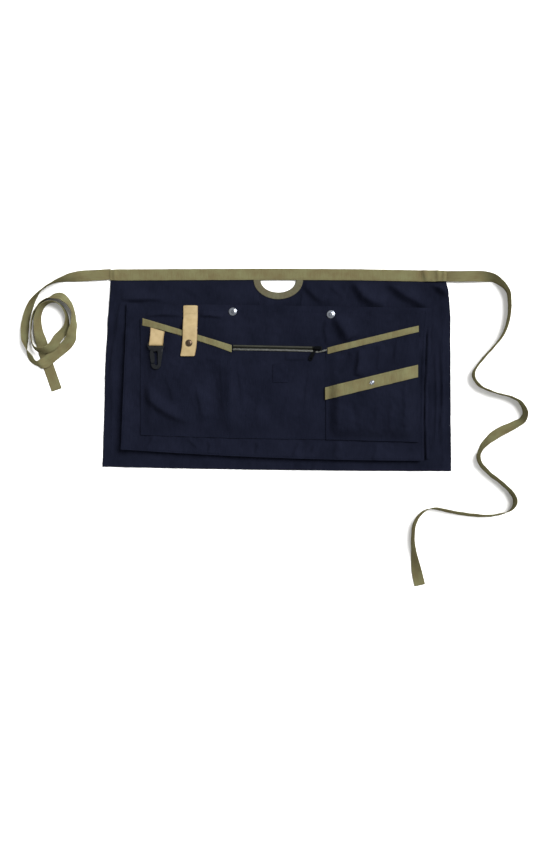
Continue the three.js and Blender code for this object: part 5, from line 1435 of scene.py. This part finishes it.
SEAM_INSET = 2.5
RIM_INSET, TOP_HEM, PANEL_WIDE, PANEL_HIGH = 3.2, 10.24, 570.0, 280.0
hem_y = np.linspace(160, HEM_Y + HEM_WIDTH, 120)
hem_x = np.linspace(SKIRT_LEFT[0] + HEM_WIDTH, SKIRT_RIGHT[0] - HEM_WIDTH, 220)
hem_inset = HEM_WIDTH - 2
double_x = np.linspace(122, SKIRT_RIGHT[0] - 6, 90)
navy_lines = [
    laid_on(skirt_top, skirt_sides(hem_y)[0] + hem_inset, hem_y),
    laid_on(skirt_top, skirt_sides(hem_y)[1] - hem_inset, hem_y),
    laid_on(skirt_top, hem_x, hem_line(hem_x) + hem_inset),
    laid_on(skirt_top, double_x, hem_line(double_x) + hem_inset - 6),
]
rim_t = np.linspace(0.012, 0.988, 200)
side_inset = RIM_INSET / PANEL_WIDE + 0 * rim_t
bottom_inset, top_inset = RIM_INSET / PANEL_HIGH + 0 * rim_t, TOP_HEM / PANEL_HIGH + 0 * rim_t
rim_lines = [(side_inset, rim_t), (1 - side_inset, rim_t), (rim_t, bottom_inset), (rim_t, 1 - top_inset)]
for u, v in rim_lines:
    spot = panel_spot(u, v)
    navy_lines.append(laid_on(panel_top, spot[:, 0], spot[:, 1]))
FRONTS = [
    (LEFT_POCKET, left_under), (ZIP_POCKET, zip_under),
    (RIGHT_POCKET, right_under), (TOOL_POCKET, tool_under),
]
for pocket, under in FRONTS:
    left, right = pocket["sides"]
    seam_x = np.linspace(left + 1, right - 1, 90)
    navy_lines.append(laid_on(front_top(under), seam_x, edge_y(pocket, "bottom", seam_x) + SEAM_INSET))
    for seam in (left + SEAM_INSET, right - SEAM_INSET):
        seam_y = np.linspace(edge_y(pocket, "bottom", seam) + 2, edge_y(pocket, "mouth", seam) - 4, 90)
        navy_lines.append(laid_on(front_top(under), seam, seam_y))
zip_line_x = np.linspace(-84, 88, 90)
navy_lines.append(laid_on(front_top(zip_under), zip_line_x, edge_y(ZIP_POCKET, "mouth", zip_line_x) - 3))
navy_thread = woven_cotton("navy_sewing_thread", "#0D1019", "#151927", thread=0.5, patch=8.0)
stitched("navy_stitches", navy_lines, navy_thread, "navy_canvas")

# %% Stitch lines on the tape and leather
def binding_line(pocket, under, drop):
    """A line on a mouth's tape, `drop` below the cloth edge, on the front leaf."""
    x = np.linspace(pocket["sides"][0] + 2, pocket["sides"][1] - 2, 100)
    y = edge_y(pocket, "mouth", x)
    z = under(x, y) + CANVAS + GAP + TAPE - 0.02
    return np.stack([x, y - drop / math.cos(mouth_slope(pocket)), z], axis=-1)


band_line_z = np.full(200, TOP_RISE + CANVAS + GAP + TAPE + 0.12)
band_line_x = np.linspace(BAND_X[0] + 2, BAND_X[-1] - 2, 200)
arc_turn = np.linspace(math.pi + 0.03, 2 * math.pi - 0.03, 120)
arc_out = SLOT_BINDING - 2
slot_line = np.stack([
    SLOT_X + (SLOT_HALF + arc_out) * np.cos(arc_turn),
    band_edge(SLOT_X) - GAP + (SLOT_DEPTH + arc_out) * np.sin(arc_turn),
    np.full(len(arc_turn), band_line_z[0]),
], axis=-1)
olive_lines = [
    binding_line(LEFT_POCKET, left_under, POCKET_BINDING - 3.4),
    binding_line(RIGHT_POCKET, right_under, RIGHT_BINDING - 3.4),
    binding_line(TOOL_POCKET, tool_under, TOOL_BAND - 3.6),
    binding_line(TOOL_POCKET, tool_under, 2.0),
    np.stack([band_line_x, band_edge(band_line_x) + 2, band_line_z], axis=-1),
    slot_line,
]
olive_thread = woven_cotton("olive_sewing_thread", "#514832", "#5E5E43", thread=0.5, patch=8.0)
stitched("olive_stitches", olive_lines, olive_thread, "olive_tape")
STRAP_SEAMS, STRAP_SEAM_HALF = (103.5, 114.5), 10.5
tan_x = np.linspace(STRAP_X[-1] - STRAP_SEAM_HALF, STRAP_X[-1] + STRAP_SEAM_HALF, 20)
tan_z = np.full(len(tan_x), STRAP_LEVEL_PANEL + STRAP_LEATHER + 0.1)
tan_lines = [np.stack([tan_x, np.full(len(tan_x), y), tan_z], axis=-1) for y in STRAP_SEAMS]
tan_thread = woven_cotton("tan_sewing_thread", "#776A4B", "#8D7E5E", thread=0.5, patch=8.0)
stitched("tan_stitches", tan_lines, tan_thread, "tan_leather")

# %% [markdown]


# %% [markdown]
# ## Floor and light
# The photograph has a white surface and a soft key light high at the upper right: the tape's shadows fall to
# the lower left and are short and pale. A distant light with a wide disc lights the whole floor alike, which
# an area light near the apron would not. A white world fills the shadows. It is dimmer straight overhead,
# where the camera and the ceiling are, so that flat metal shows darker than its sloping rims.

# %% White floor
FLOOR_SIZE = 6000.0
FLOOR_Z = -0.4

floor_xy = np.array([(-1, -1), (1, -1), (1, 1), (-1, 1)]) * FLOOR_SIZE / 2
floor_mesh = bpy.data.meshes.new("floor")
floor_mesh.from_pydata([(x * MM, y * MM, FLOOR_Z * MM) for x, y in floor_xy], [], [(0, 1, 2, 3)])
floor = bpy.data.objects.new("floor", floor_mesh)
bpy.context.scene.collection.objects.link(floor)
paper = new_finish("white_paper", Base_Color=linear("#F3F3F2"), Roughness=0.9, Specular_IOR_Level=0.1)
floor_mesh.materials.append(paper[0])
print("floor", FLOOR_SIZE, "mm wide, under the cloth by", -FLOOR_Z, "mm")

# %% Studio world
SIDE_GLOW, OVERHEAD_GLOW = 1.12, 0.37

world = bpy.data.worlds.new("studio")
world.use_nodes = True
background = world.node_tree.nodes["Background"]
background.inputs["Color"].default_value = linear("#FFFFFF")
sky = add_node(world.node_tree, "TexCoord")
upward = add_node(world.node_tree, "SeparateXYZ", links={0: sky.outputs["Generated"]})
glow = add_node(
    world.node_tree, "MapRange",
    {"From Min": 0.5, "From Max": 1.0, "To Min": SIDE_GLOW, "To Max": OVERHEAD_GLOW},
    {"Value": upward.outputs["Z"]},
)
world.node_tree.links.new(glow.outputs[0], background.inputs["Strength"])
bpy.context.scene.world = world
print("world glow:", SIDE_GLOW, "at the sides,", OVERHEAD_GLOW, "overhead")

# %% Key light
KEY_TURN, KEY_RISE = math.radians(35), math.radians(50)
KEY_STRENGTH, KEY_DISC = 6.6, math.radians(34)

key_data = bpy.data.lights.new("key_light", "SUN")
key_data.energy = KEY_STRENGTH
key_data.angle = KEY_DISC
key = bpy.data.objects.new("key_light", key_data)
to_key = Vector((
    math.cos(KEY_RISE) * math.cos(KEY_TURN), math.cos(KEY_RISE) * math.sin(KEY_TURN), math.sin(KEY_RISE),
))
key.rotation_euler = to_key.to_track_quat("Z", "Y").to_euler()
bpy.context.scene.collection.objects.link(key)
bpy.context.scene.view_settings.view_transform = "Standard"
print("key light from", [round(value, 2) for value in to_key])
